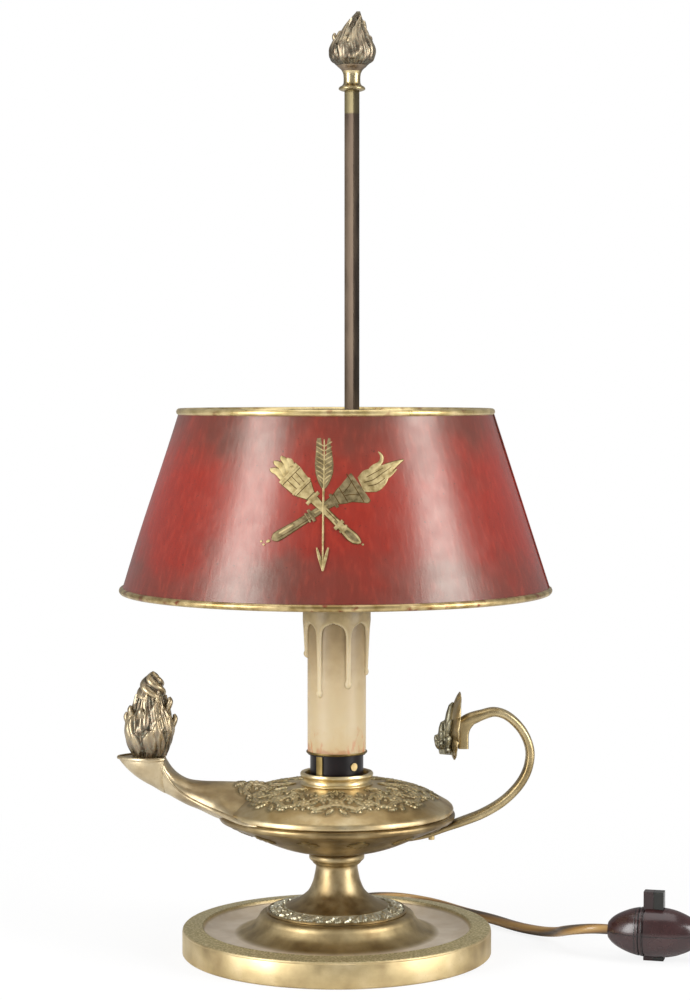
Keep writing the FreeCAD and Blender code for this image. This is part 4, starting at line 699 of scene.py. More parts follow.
def make_cord():
    """The flex from the grommet through the switch and the coil to the plug."""
    through = [along_turn(SWITCH_CENTRE, SWITCH_TURN, d) for d in (-SWITCH_HALF, -8.0, 8.0, SWITCH_HALF)]
    route = [Vector(GROMMET_END), *map(Vector, LEAD), *through, *map(Vector, TAIL), *coil_points(),
             *map(Vector, END), Vector(PLUG_BACK)]
    line = bpy.data.curves.new("lamp_cord", "CURVE")
    line.dimensions = "3D"
    line.bevel_depth = CORD_D / 2
    line.bevel_resolution = 3
    line.resolution_u = 6
    line.use_fill_caps = True
    spline = line.splines.new("NURBS")
    spline.points.add(len(route) - 1)
    for point, place in zip(spline.points, route):
        point.co = (*(place * MM), 1.0)
    spline.order_u = 3
    spline.use_endpoint_u = True
    cord = bpy.data.objects.new("lamp_cord", line)
    bpy.context.scene.collection.objects.link(cord)
    paint(cord, twin_flex())
    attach(cord, LAMP)
    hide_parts("cord_lead", "cord_tail", "cord_coil", "cord_end")
    return cord


# Shapes swept along a line


def swept(name, path, widths, depths, sides=24, squareness=2.0, wide=Vector((0, 1, 0))):
    """A closed shape along a path: each ring is an oval, or squarer, as wide as widths along the
    direction wide, and as deep as depths square to it. Metres, one width and depth per path point."""
    rings = [(1.0, i / (len(path) - 1)) for i in range(len(path))]
    piece = turned(name, rings, sides, closed=False)
    close_ends(piece)
    last = len(path) - 1
    frames = []
    for i, point in enumerate(path):
        along = (path[min(i + 1, last)] - path[max(i - 1, 0)]).normalized()
        across = (wide - along * wide.dot(along)).normalized()
        frames.append((point, across, along.cross(across)))
    power = 2 / squareness
    for vertex in piece.data.vertices:
        i = round(vertex.co.z * last)
        point, across, deep = frames[i]
        angle = math.atan2(vertex.co.y, vertex.co.x)
        side = math.copysign(abs(math.cos(angle)) ** power, math.cos(angle)) * widths[i]
        rise = math.copysign(abs(math.sin(angle)) ** power, math.sin(angle)) * depths[i]
        vertex.co = point + across * side + deep * rise
    piece.data.update()
    make_normals_out(piece)
    return piece


def make_normals_out(piece):
    """Turns all faces of a closed shape outward."""
    select_only(piece)
    bpy.ops.object.mode_set(mode="EDIT")
    bpy.ops.mesh.select_all(action="SELECT")
    bpy.ops.mesh.normals_make_consistent(inside=False)
    bpy.ops.object.mode_set(mode="OBJECT")


def join(name, pieces):
    """One piece of several."""
    deselect()
    for piece in pieces:
        piece.select_set(True)
    bpy.context.view_layer.objects.active = pieces[0]
    bpy.ops.object.join()
    joined = bpy.context.object
    joined.name = name
    return joined


def cast_together(piece, voxel_mm, rounds):
    """Melts overlapping shapes into one skin, as if cast in one pour."""
    modifier(piece, "REMESH", mode="VOXEL", voxel_size=voxel_mm * MM)
    modifier(piece, "SMOOTH", factor=0.5, iterations=rounds)
    apply_modifiers(piece)


def in_metres(pairs, lift=0.0):
    """Radius and height pairs in millimetres as metres, raised by a lift in metres."""
    return [(pair[0] * MM, pair[1] * MM + lift) for pair in pairs]


# Foot and stem


def make_foot(finishes):
    """The dished foot, turned from heavy cast brass."""
    outer = [(74.2, 0.0), (75.0, 0.7), (75.0, 10.9), (74.7, 11.5), (74.9, 12.0), (74.4, 12.6), (73.6, 12.8),
             (66.4, 13.2), (65.7, 13.6), (65.0, 13.4)]
    dish = smooth_line([(65.0, 13.4), (64.1, 11.4), (60.2, 9.9), (53.0, 9.6), (47.0, 10.4), (41.5, 13.2),
                        (38.6, 16.6), (37.6, 18.4), (36.6, 19.4), (34.9, 20.0)], 5)
    under = [(30.0, 20.0), (30.0, 17.2), (37.0, 13.0), (45.0, 7.6), (69.5, 6.8), (69.5, 1.75), (72.3, 1.7),
             (72.3, 0.0)]
    foot = turned("foot_dish", in_metres(outer + dish[1:] + under), 144)
    round_edges(foot, 0.25, 2, 40)
    paint(foot, finishes["foot"])
    finish_piece(foot, LAMP, "aged_brass", "base_dish")


LEAF_BAND_OUT = 32.4
LEAF_BAND_IN = 25.6
LEAF_BAND_LEAVES = 22
LEAF_BAND_RELIEF = 1.1 * MM


def make_stem(finishes):
    """The waisted stem, with a band of small leaves round its foot."""
    band_low = 20.9
    edge = [(33.2, 20.0), (33.9, 20.3), (34.0, 20.9), (33.5, 21.4), (32.9, 21.2)]
    rows = 18
    band = []
    for i in range(rows + 1):
        share = i / rows
        band.append((LEAF_BAND_OUT + (LEAF_BAND_IN - LEAF_BAND_OUT) * share, band_low + 1.5 * share))
    step = [(25.1, 22.9), (24.7, 23.2)]
    cone = smooth_line([(24.7, 23.2), (20.0, 25.2), (14.4, 29.4), (11.8, 34.2), (10.6, 39.0), (10.1, 42.2),
                        (10.6, 43.6)], 6)
    inside = [(8.6, 43.6), (8.6, 38.0), (10.0, 33.0), (13.0, 28.0), (18.0, 23.6), (24.0, 20.0)]
    stem = turned("stem_cone", in_metres(edge + band + step + cone[1:] + inside), 480)
    places, _ = points_of(stem)
    radius, angles = polar(places)
    middle_r = (LEAF_BAND_OUT + LEAF_BAND_IN) / 2
    half = (LEAF_BAND_OUT - LEAF_BAND_IN) / 2
    on_top = (places[:, 2] > 20.5 * MM) & (places[:, 2] < 22.7 * MM)
    near = on_top & (radius < LEAF_BAND_OUT + 0.4) & (radius > LEAF_BAND_IN - 0.4)
    across = wrapped(angles, LEAF_BAND_LEAVES) * middle_r
    between = wrapped(angles + math.pi / LEAF_BAND_LEAVES, LEAF_BAND_LEAVES) * middle_r
    out = radius - middle_r
    tall = leaf_height(out, across + 0.45 * out, 0.0, half + 0.2, 3.2, 2)
    short = 0.8 * leaf_height(out - 0.9, between, 0.0, half * 0.75, 1.3, 1)
    beads = 0.7 * np.sqrt(np.clip(1 - ((out + 2.4) ** 2 + between ** 2) / 0.75, 0, 1))
    heights = np.where(near, np.maximum(np.maximum(tall, short), beads), 0) * LEAF_BAND_RELIEF
    push_out(stem, heights, LEAF_BAND_RELIEF)
    # The leaf band's upward faces take a near-white copy of the brass: a painted highlight
    paint(stem, finishes["stem"], finishes["leaf_band_painted_highlight"])
    for face in stem.data.polygons:
        out = math.hypot(face.center.x, face.center.y) / MM
        if face.normal.z > 0.3 and LEAF_BAND_IN - 0.6 < out < LEAF_BAND_OUT + 0.2:
            face.material_index = 1
    finish_piece(stem, LAMP, "aged_brass", "stem")


def make_knop(finishes):
    """The knop between stem and bowl."""
    line = smooth_line([(11.0, 43.5), (11.7, 44.2), (12.0, 44.8)], 3)
    bead = smooth_line([(12.4, 45.1), (13.3, 46.0), (13.45, 47.2), (13.1, 48.3), (12.2, 49.1)], 4)
    rings = [(8.6, 43.5)] + line + bead + [(11.6, 49.6), (8.6, 49.6)]
    knop = turned("stem_knop_ring", in_metres(rings), 96)
    paint(knop, finishes["stem"])
    finish_piece(knop, LAMP, "gilt_brass", "stem_knop")


# Bowl

GARLANDS = 8
# Radii between which the wreath lies, and between which the fans under the bowl do
WREATH_IN = 19.0
WREATH_OUT = 52.0
FANS = 12
FANS_IN = 20.0
FANS_OUT = 53.0
FAN_RELIEF = 0.8 * MM


# Leaves on either side of a garland's middle flower: across, up, lean in degrees, half length, half width
# and height
GARLAND_LEAVES = ((4.6, 4.6, 28, 3.8, 1.7, 0.95), (9.2, 5.6, -18, 3.6, 1.6, 0.9),
                  (9.9, 1.2, 62, 3.3, 1.5, 0.85), (3.8, -3.6, -48, 3.2, 1.4, 0.85),
                  (2.6, -7.2, -68, 3.0, 1.3, 0.8), (10.4, -3.8, 40, 3.1, 1.4, 0.85),
                  (6.6, -7.2, 20, 2.8, 1.2, 0.75), (2.4, 7.6, 62, 2.6, 1.2, 0.8),
                  (6.8, 8.0, 8, 2.4, 1.1, 0.7))


def garland(radius, angles):
    """Height from 0 to 1 of the wreath on the bowl's top, flowers, leaves and berries in a close ring
    repeated round the cup, and the ground close around them, darkened by patina and painted shade. Radius in
    millimetres."""
    turn = wrapped(angles, GARLANDS)
    # Drawn at a middle radius of 36 and laid out a little larger
    middle_r = 36.0
    x = turn * middle_r
    y = (radius - 38.2) / 1.12
    edge_x = math.pi / GARLANDS * middle_r
    heights = np.zeros_like(radius)
    shadow = np.zeros_like(radius)

    def leaf(at_x, at_y, degrees, length, width, top=1.0, veins=2):
        angle = math.radians(degrees)
        np.maximum(heights, top * leaf_height(x - at_x, y - at_y, angle, length, width, veins), out=heights)
        wide = leaf_height(x - at_x, y - at_y, angle, length + 1.5, width + 1.5, 0)
        np.maximum(shadow, wide, out=shadow)

    def ball(at_x, at_y, size, top=1.0):
        apart = (x - at_x) ** 2 + (y - at_y) ** 2
        np.maximum(heights, top * np.sqrt(np.clip(1 - apart / size ** 2, 0, 1)), out=heights)
        np.maximum(shadow, np.clip(1 - apart / (size + 1.2) ** 2, 0, 1), out=shadow)

    def flower(at_x, at_y, size, petals):
        for k in range(petals):
            around = 2 * math.pi * k / petals + 0.3
            out = size * 0.62
            ball(at_x + out * math.cos(around), at_y + out * math.sin(around), size * 0.42, 0.85)
        ball(at_x, at_y, size * 0.34, 1.0)

    flower(0.0, 0.6, 3.7, 7)
    for side in (-1, 1):
        flower(side * edge_x, 1.8, 3.0, 6)
        flower(side * 6.9, -2.6, 2.5, 5)
        for across, up, degrees, length, width, top in GARLAND_LEAVES:
            leaf(side * across, up, side * degrees, length, width, top)
        for across, up, size, top in ((5.6, 0.8, 1.0, 0.9), (11.6, -7.0, 0.9, 0.8), (12.6, 6.4, 0.9, 0.8)):
            ball(side * across, up, size, top)
    leaf(0.0, -9.6, 90, 2.8, 1.5, 0.8)
    leaf(edge_x, -8.0, 90, 3.2, 1.5, 0.85)
    leaf(-edge_x, -8.0, 90, 3.2, 1.5, 0.85)
    for k in (-2, -1, 0, 1, 2):
        leaf(2.2 * k, -14.0 + 0.25 * k * k, 90 - 17 * k, 2.6, 1.0, 0.75, 1)
    return heights, shadow


def palmettes(radius, angles):
    """Height from 0 to 1 of the fans under the bowl, each of seven ribs from one root."""
    turn = wrapped(angles + math.radians(17), FANS)
    x = turn * radius
    y = 45.0 - radius
    heights = np.zeros_like(radius)
    for k in range(-3, 4):
        lean = math.radians(90 - 24 * k)
        reach = 6.8 - 0.3 * k * k
        at_x = math.cos(lean) * reach * 0.62
        at_y = math.sin(lean) * reach * 0.62 - 4.0
        np.maximum(heights, leaf_height(x - at_x, y - at_y, lean, reach * 0.62, 1.0, 0), out=heights)
    root = np.sqrt(np.clip(1 - (x ** 2 + (y + 5.2) ** 2) / 4.0, 0, 1))
    return np.maximum(heights, root)


def wreathe(piece, relief):
    """Raises the wreath on a piece's top, and marks the ground close round it for patina and painted shade.
    """
    places, normals = points_of(piece)
    radius, angles = polar(places)
    on_top = (normals[:, 2] > 0.5) & (radius < WREATH_OUT) & (radius > WREATH_IN)
    wreath, shadow = garland(radius, angles + math.pi / 2)
    push_out(piece, np.where(on_top, wreath, 0) * relief, relief)
    mark(piece, "sunk", np.where(on_top, shadow * np.clip(1 - wreath * 4, 0, 1), 0))


def make_bowl(finishes, look):
    """The flat oil bowl: a pressed top with a garland, over a lower half with fans."""
    split = 69.0
    top_line = [(55.2, split), (56.1, split + 0.1), (56.55, 69.6), (56.6, 70.6), (56.2, 71.5), (55.4, 72.3)]
    slope = smooth_line([(55.4, 72.3), (50.0, 75.3), (44.0, 77.8), (38.0, 79.6), (30.0, 81.2), (22.0, 82.0),
                         (17.8, 82.2)], 15)
    inside = [(15.0, 82.2), (15.0, 80.2), (30.0, 79.4), (44.0, 76.0), (54.0, 71.0)]
    upper = turned("bowl_top", in_metres(top_line + slope[1:] + inside), 640)
    wreathe(upper, look.relief)
    paint(upper, finishes["bowl"])
    finish_piece(upper, LAMP, "aged_brass", "bowl_upper")

    bead = smooth_line([(55.9, 65.3), (56.6, 65.6), (57.2, 66.5), (57.4, 67.4), (57.1, 68.3),
                        (56.2, 68.9)], 4)
    rim = [(54.6, 64.7)] + bead + [(55.2, split)]
    under = smooth_line([(11.2, 49.6), (20.0, 50.7), (27.0, 52.5), (34.0, 55.2), (43.0, 59.4), (50.0, 62.5),
                         (54.6, 64.7)], 12)
    wall = [(53.0, split), (52.8, 66.0), (43.0, 61.4), (27.0, 54.6), (11.2, 51.4)]
    lower = turned("bowl_underside", in_metres(under + rim[1:] + wall), 480)
    places, normals = points_of(lower)
    radius, angles = polar(places)
    below = (normals[:, 2] < -0.5) & (radius < FANS_OUT) & (radius > FANS_IN)
    fans = palmettes(radius, angles + math.pi / 2)
    push_out(lower, np.where(below, fans, 0) * FAN_RELIEF, FAN_RELIEF)
    # The underside's darker brass is painted shade
    paint(lower, finishes["bowl_under_painted_shade"])
    finish_piece(lower, LAMP, "aged_brass", "bowl_lower")


# Spout and its flame

SPOUT_TOP = 95.5
# Sections of the spout: distance out, top, height of its widest line, underside, half width, and how full
# the section is above that line and below it. Near the bowl it is as wide as the bowl's rim circle.
SPOUT_ROWS = ((-24.0, 81.4, 69.0, 55.0, 44.0, 1.0, 1.0), (-34.0, 82.4, 69.0, 57.0, 42.0, 1.0, 1.0),
              (-40.0, 83.0, 69.2, 58.9, 38.4, 1.02, 1.0), (-45.0, 83.3, 69.8, 60.8, 33.0, 1.08, 1.1),
              (-50.0, 83.4, 70.8, 62.6, 27.2, 1.2, 1.2), (-56.0, 83.5, 72.2, 65.0, 21.0, 1.4, 1.4),
              (-60.0, 83.5, 73.2, 66.6, 17.2, 1.55, 1.5), (-66.0, 83.7, 75.2, 69.6, 12.9, 1.8, 1.7),
              (-72.0, 84.6, 78.0, 72.0, 10.1, 2.0, 1.9), (-77.0, 87.2, 81.4, 74.5, 8.8, 2.2, 2.0),
              (-80.6, 90.7, 85.4, 76.5, 8.5, 2.6, 2.0), (-83.8, 95.5, 91.0, 78.0, 8.9, 3.2, 2.0))
# The boat-shaped mouth: distance out, underside and half width under its flat top
MOUTH_ROWS = ((-83.4, 77.8, 8.9), (-85.5, 79.0, 10.1), (-89.0, 81.2, 11.0), (-93.0, 83.4, 10.9),
              (-97.0, 86.0, 9.5), (-101.0, 89.3, 6.6), (-104.0, 92.4, 3.4), (-105.8, 94.8, 0.9))


def closed_skin(name, rings):
    """A closed skin over rings of points of equal count, with both ends capped."""
    sides = len(rings[0])
    last = len(rings) - 1
    piece = turned(name, [(1.0, i / last) for i in range(len(rings))], sides, closed=False)
    close_ends(piece)
    for vertex in piece.data.vertices:
        i = round(vertex.co.z * last)
        k = round(math.atan2(vertex.co.y, vertex.co.x) / (2 * math.pi) * sides) % sides
        vertex.co = rings[i][k]
    piece.data.update()
    make_normals_out(piece)
    return piece


def neck_point(row, angle):
    """A point of a neck section: angle 0 is its top, a quarter turn its widest line."""
    x, top, wide_z, bottom, wide, above, below = row
    side = math.sin(angle)
    rise = math.cos(angle)
    power = 2 / (above if rise > 0 else below)
    reach = (top - wide_z) if rise > 0 else (wide_z - bottom)
    y = math.copysign(abs(side) ** power, side) * wide
    z = wide_z + math.copysign(abs(rise) ** power, rise) * reach
    return Vector((x, y, z)) * MM


def mouth_point(row, angle):
    """A point of a mouth section: a flat top with a full, rounded underside."""
    x, bottom, wide = row
    side = math.sin(angle)
    rise = math.cos(angle)
    z = SPOUT_TOP if rise > 0 else SPOUT_TOP - (SPOUT_TOP - bottom) * abs(rise) ** 0.85
    y = side * wide if rise > 0 else math.copysign(abs(side) ** 0.8, side) * wide
    return Vector((x, y, z)) * MM


def round_steps(count):
    """Angles in equal steps once round."""
    return [2 * math.pi * k / count for k in range(count)]


def make_spout(finishes, look):
    """The neck that grows out of the bowl's rim, with the end of the bowl's wreath on it, and its
    boat-shaped mouth with a flat top."""
    sections = [[neck_point(row, angle) for angle in round_steps(360)] for row in smooth_line(SPOUT_ROWS, 14)]
    neck = closed_skin("spout_neck", sections)
    wreathe(neck, look.relief)
    mouth_rows = smooth_line(MOUTH_ROWS, 5)
    sections = [[mouth_point(row, angle) for angle in round_steps(72)] for row in mouth_rows]
    parts = [neck, closed_skin("spout_mouth", sections)]
    for side in (-1, 1):
        parts.append(spout_bead(side, smooth_line(SPOUT_ROWS, 5)))
        lip = [Vector((x, side * max(wide - 0.3, 0.2), SPOUT_TOP - 0.2)) * MM for x, _, wide in mouth_rows]
        parts.append(swept("spout_lip", lip, [0.85 * MM] * len(lip), [0.95 * MM] * len(lip), sides=12))
    spout = join("spout_neck", parts)
    paint(spout, finishes["spout"])
    finish_piece(spout, LAMP, "aged_brass", "spout", smooth=40)


def spout_bead(side, rows):
    """The raised line that leaves the bowl's rim, runs along the neck and climbs to the mouth's corner."""
    path = []
    widths = []
    for x, _, wide_z, _, wide, _, _ in rows:
        if x > -36.0:
            continue
        share = min(max((-44.0 - x) / 30.0, 0), 1)
        path.append(Vector((x, side * (wide + 0.1), wide_z - 0.6)) * MM)
        widths.append((1.35 - 0.55 * share) * MM)
    path.append(Vector((-84.2, side * 9.1, 93.2)) * MM)
    path.append(Vector((-84.3, side * 9.1, 95.4)) * MM)
    widths += [0.7 * MM, 0.6 * MM]
    return swept("spout_bead", path, widths, widths, sides=12, wide=Vector((0.2, 1, 0.1)))


def flame_body(name, base, rows, tongues, sides=160, rings=120):
    """A cast flame's body: a turned core with tongues of flame standing out of its skin.
    Rows are height, radius and lean to the right. A tongue is its azimuth, foot, tip, half width in
    degrees, height out, twist in degrees and sway in degrees."""
    line = smooth_line(rows, 12)
    heights = [line[0][0] + (line[-1][0] - line[0][0]) * i / rings for i in range(rings + 1)]
    core = np.interp(heights, [row[0] for row in line], [row[1] for row in line])
    lean = np.interp(heights, [row[0] for row in line], [row[2] for row in line])
    body = turned(name, [(max(r, 0.2) * MM, h * MM) for r, h in zip(core, heights)], sides, closed=False)
    close_ends(body)
    places, _ = points_of(body)
    angle = np.degrees(np.arctan2(places[:, 1], places[:, 0]))
    height = places[:, 2] / MM
    out = np.zeros(len(height))
    for azimuth, foot, tip, half, most, twist, sway in tongues:
        share = np.clip((height - foot) / (tip - foot), 0, 1)
        centre = azimuth + twist * share + sway * np.sin(share * 2 * math.pi)
        apart = np.abs((angle - centre + 180) % 360 - 180)
        belly = 0.55 + 0.45 * np.sin(math.pi * np.clip(share * 0.9, 0, 1))
        width = half * (1 - share ** 3) ** 0.6 * belly
        rounded = np.sqrt(np.clip(1 - (apart / np.maximum(width, 0.01)) ** 2, 0, 1))
        grow = most * (0.55 + 0.9 * share ** 1.5)
        crease = 1 - 0.28 * np.exp(-(apart / (0.22 * half)) ** 2)
        inside = (height > foot) & (height < tip)
        out = np.maximum(out, np.where(inside, rounded * grow * crease, 0))
    fine = 0.16 * np.sin(np.radians(angle * 26 + height * 22))
    coarse = 0.12 * np.sin(np.radians(angle * 11 - height * 31))
    end = np.clip((heights[-1] - height) / 3, 0, 1)
    out = (out + (fine + coarse)) * end
    radius = np.hypot(places[:, 0], places[:, 1])
    grow = (radius + out * MM) / np.maximum(radius, 1e-6)
    places[:, 0] *= grow
    places[:, 1] *= grow
    places[:, 0] += np.interp(height, heights, lean) * MM + base.x * MM
    places[:, 1] += base.y * MM
    places[:, 2] += base.z * MM
    put_points(body, places)
    mark(body, "raised", np.clip(0.15 + out / 2.2, 0, 1))
    make_normals_out(body)
    return body


def curl(name, base, azimuth, rows):
    """A loose tip of flame. Rows are distance out, height and half thickness."""
    turn = math.radians(azimuth)
    path = []
    widths = []
    for out, height, wide in smooth_line(rows, 4):
        path.append((base + Vector((math.cos(turn) * out, math.sin(turn) * out, height))) * MM)
        widths.append(max(wide, 0.25) * MM)
    outward = Vector((-math.sin(turn), math.cos(turn), 0))
    piece = swept(name, path, [w * 1.3 for w in widths], widths, sides=16, wide=outward)
    mark(piece, "raised", np.full(len(piece.data.vertices), 0.7))
    return piece


def flame_curls(base, tips, shape):
    """Loose tips round a flame. A tip is its azimuth, reach and top, and the shape's rows start there."""
    curls = []
    for azimuth, reach, top in tips:
        rows = [(reach + out, top + up, half) for out, up, half in shape]
        curls.append(curl("flame_curl", base, azimuth, rows))
    return curls


def twisted_tip(name, base, foot, tip, radius, bands, lean_foot, lean_tip):
    """The tip of a flame, wound like a turban out of a few bands."""
    rings = 48
    line = []
    for i in range(rings + 1):
        share = i / rings
        line.append((max(radius * (1 - share ** 2.4) ** 0.75, 0.15), foot + (tip - foot) * share))
    piece = turned(name, in_metres(line), 64, closed=False)
    close_ends(piece)
    places, _ = points_of(piece)
    angle = np.arctan2(places[:, 1], places[:, 0])
    share = (places[:, 2] / MM - foot) / (tip - foot)
    wave = np.abs(np.sin(angle * bands / 2 + share * 7.5))
    grow = 1 + (0.30 * wave - 0.16) * np.clip((1 - share) * 4, 0, 1)
    places[:, 0] = places[:, 0] * grow + (base.x + lean_foot + (lean_tip - lean_foot) * share) * MM
    places[:, 1] = places[:, 1] * grow + base.y * MM
    places[:, 2] += base.z * MM
    put_points(piece, places)
    mark(piece, "raised", np.clip(wave * 1.1, 0, 1))
    make_normals_out(piece)
    return piece


# Rows and tongues as flame_body takes them, and the loose tips with their shape, in millimetres
SPOUT_FLAME_ROWS = ((0.0, 7.6, 0.0), (2.0, 8.3, 0.0), (6.0, 9.8, -0.2), (11.0, 10.8, -0.1),
                    (15.0, 10.9, 0.0), (20.0, 9.6, 0.2), (24.0, 8.0, 0.6), (28.0, 6.6, 0.8),
                    (33.0, 5.2, 1.0), (38.0, 3.0, 1.6))
SPOUT_FLAME_TONGUES = ((270, 0.5, 15, 21, 1.4, 14, 6), (306, 1.0, 20, 18, 1.3, -10, 7),
                       (338, 0.5, 24, 20, 1.5, 8, 6), (14, 1.0, 19, 18, 1.5, 12, 6),
                       (50, 0.5, 23, 20, 1.4, -12, 7), (88, 1.0, 18, 19, 1.4, 10, 6),
                       (126, 0.5, 24, 20, 1.5, -8, 7), (160, 1.0, 21, 18, 1.6, 10, 6),
                       (196, 0.5, 24, 19, 1.5, 10, 5), (232, 1.0, 21, 18, 1.5, -12, 7),
                       (286, 11.0, 30, 20, 1.5, 20, 8), (326, 13.0, 33, 20, 1.4, -16, 8),
                       (8, 13.0, 30, 20, 1.6, 14, 8), (60, 12.0, 32, 20, 1.4, 16, 8),
                       (110, 12.0, 30, 20, 1.5, -16, 8), (150, 13.0, 33, 20, 1.4, 14, 8),
                       (205, 12.0, 31, 20, 1.5, -14, 8), (246, 13.0, 32, 20, 1.4, 12, 8))
SPOUT_FLAME_TIPS = ((178, 11.0, 21.6), (205, 9.6, 25.4), (2, 12.2, 20.6), (350, 10.2, 29.2),
                    (120, 10.4, 24.0), (62, 10.2, 26.0), (300, 9.8, 22.8), (250, 9.6, 24.6))
SPOUT_TIP_SHAPE = ((-2.4, -8.0, 1.6), (-0.8, -4.5, 1.7), (0.2, -2.0, 1.4), (-0.3, 0.0, 0.7))


def make_spout_flame(finishes):
    """The cast bronze flame that stands in the spout's mouth."""
    base = Vector((-90.8, 0, SPOUT_TOP))
    parts = [flame_body("spout_flame_cast", base, SPOUT_FLAME_ROWS, SPOUT_FLAME_TONGUES),
             twisted_tip("flame_tip", base, 29.0, 41.6, 6.3, 4, 0.9, 1.9)]
    parts += flame_curls(base, SPOUT_FLAME_TIPS, SPOUT_TIP_SHAPE)
    flame = join("spout_flame_cast", parts)
    paint(flame, finishes["flame"])
    finish_piece(flame, LAMP, "dark_bronze", "spout_flame", smooth=65)


FINIAL_ROWS = ((0.0, 7.2, 0.0), (1.4, 8.8, 0.0), (3.2, 10.3, 0.0), (6.6, 10.8, 0.2), (10.4, 9.6, 0.2),
               (14.0, 7.4, 0.5), (17.0, 5.6, 0.8), (20.0, 4.2, 1.4), (23.0, 2.6, 2.2), (26.2, 0.9, 3.1))
FINIAL_TONGUES = ((200, 2.5, 17.0, 24, 1.2, -14, 5), (238, 1.5, 13.0, 19, 1.0, 12, 6),
                  (268, 2.5, 20.0, 20, 1.2, 14, 7), (300, 1.5, 16.0, 19, 1.0, 10, 6),
                  (332, 2.5, 17.0, 20, 1.2, 16, 6), (4, 1.5, 15.0, 20, 1.1, 12, 6),
                  (40, 2.5, 18.0, 20, 1.2, -14, 6), (78, 1.5, 15.0, 20, 1.0, 12, 6),
                  (118, 2.5, 19.0, 22, 1.2, -14, 6), (158, 1.5, 14.0, 20, 1.0, 12, 6),
                  (285, 9.0, 24.0, 26, 1.3, 18, 8), (350, 10.0, 22.0, 24, 1.1, 14, 8),
                  (60, 9.0, 23.0, 26, 1.3, -18, 8), (140, 9.0, 23.0, 26, 1.2, 18, 8),
                  (215, 10.0, 23.0, 26, 1.2, 22, 8))
FINIAL_TIPS = ((184, 8.6, 15.6), (350, 9.0, 14.2), (75, 8.8, 14.8), (262, 8.6, 12.6), (128, 8.6, 15.0))
FINIAL_TIP_SHAPE = ((-1.8, -5.4, 1.3), (-0.4, -3.0, 1.3), (0.1, -1.2, 1.0), (-0.4, 0.0, 0.5))
SOCKET_HIGH = 12.3


def make_finial(finishes):
    """The flame finial and its turned socket at the rod's top."""
    axis = (middle("finial_socket").x, middle("finial_socket").y)
    bottom = low("finial_socket").z / MM
    neck = smooth_line([(4.9, 0.0), (6.3, 0.6), (6.5, 1.2), (6.0, 2.0), (4.9, 2.7), (4.2, 3.8), (4.1, 6.4),
                        (4.4, 8.6), (5.4, 10.4), (6.9, 11.7), (7.4, SOCKET_HIGH)], 4)
    rings = [(2.3, 0.0)] + neck + [(2.3, SOCKET_HIGH)]
    socket = turned("finial_socket_turned", in_metres(rings, bottom * MM), 64, at=axis)
    paint(socket, finishes["rod_top"], finishes["flame"])
    for face in socket.data.polygons:
        if face.center.z / MM > bottom + 9.4:
            face.material_index = 1
    finish_piece(socket, "finial", "dark_bronze", "finial_socket")
    base = Vector((axis[0] / MM, axis[1] / MM, bottom + SOCKET_HIGH))
    parts = [flame_body("finial_flame_cast", base, FINIAL_ROWS, FINIAL_TONGUES, 144, 100)]
    flame = join("finial_flame_cast", parts + flame_curls(base, FINIAL_TIPS, FINIAL_TIP_SHAPE))
    paint(flame, finishes["flame"])
    finish_piece(flame, "finial", "dark_bronze", "finial_flame", smooth=65)


# Handle and its rosette

# Distance out, height, half thickness and half width of the handle's sections
HANDLE_ROWS = ((60.2, 112.0, 2.2, 4.0), (63.4, 113.3, 2.9, 4.3), (66.8, 114.6, 2.9, 4.4),
               (70.2, 115.8, 2.5, 4.4), (75.8, 117.3, 2.25, 4.4), (81.0, 116.2, 2.2, 4.4),
               (85.8, 112.9, 2.2, 4.4), (90.2, 107.7, 2.2, 4.4), (93.0, 101.5, 2.2, 4.4),
               (93.7, 95.2, 2.2, 4.4), (91.9, 87.6, 2.2, 4.4), (87.4, 80.3, 2.2, 4.4),
               (80.2, 73.4, 2.2, 4.4), (71.0, 67.9, 2.2, 4.6), (62.0, 64.3, 2.1, 5.2),
               (53.0, 61.2, 1.8, 6.2), (44.0, 57.9, 1.5, 6.4), (36.0, 55.8, 1.1, 5.4),
               (30.0, 54.5, 0.7, 3.0))


# Height and half thickness of the upright block under the handle's end, and its distance out
HANDLE_BLOCK_X = 61.3
HANDLE_BLOCK = ((99.7, 2.6), (102.5, 2.6), (105.0, 2.6), (107.0, 2.75), (109.0, 3.4), (110.6, 4.5),
                (111.8, 5.6), (112.6, 5.6))


def strap_shape(name, rows, squareness):
    """A bar in the plane of spout and handle, from rows of distance out, height, half thickness and half
    width."""
    path = [Vector((x, 0, z)) * MM for x, z, _, _ in rows]
    widths = [wide * MM for _, _, _, wide in rows]
    depths = [thick * MM for _, _, thick, _ in rows]
    return swept(name, path, widths, depths, sides=32, squareness=squareness)


def make_handle(finishes):
    """The flat strap of the handle, from the block behind the rosette to a leaf under the bowl."""
    bent = strap_shape("handle_strap_bent", smooth_line(HANDLE_ROWS, 5), 2.8)
    block_rows = [(HANDLE_BLOCK_X, height, thick, 4.1) for height, thick in smooth_line(HANDLE_BLOCK, 4)]
    block = strap_shape("handle_block", block_rows, 5.0)
    strap = join("handle_strap_bent", [bent, block])
    paint(strap, finishes["handle"])
    finish_piece(strap, LAMP, "aged_brass", "handle_strap")


ROSETTE_X = 57.4
ROSETTE_Z = 110.4
ROSETTE_TILT = 4.7
ROSETTE_R = 16.4


def face_left(piece, x):
    """Turns a piece made flat on the floor so that its top faces the spout, leaning a little."""
    select_only(piece)
    piece.rotation_euler = (0, math.radians(-90 + ROSETTE_TILT), 0)
    piece.location = (x * MM, 0, ROSETTE_Z * MM)
    bpy.ops.object.transform_apply(location=True, rotation=True, scale=True)


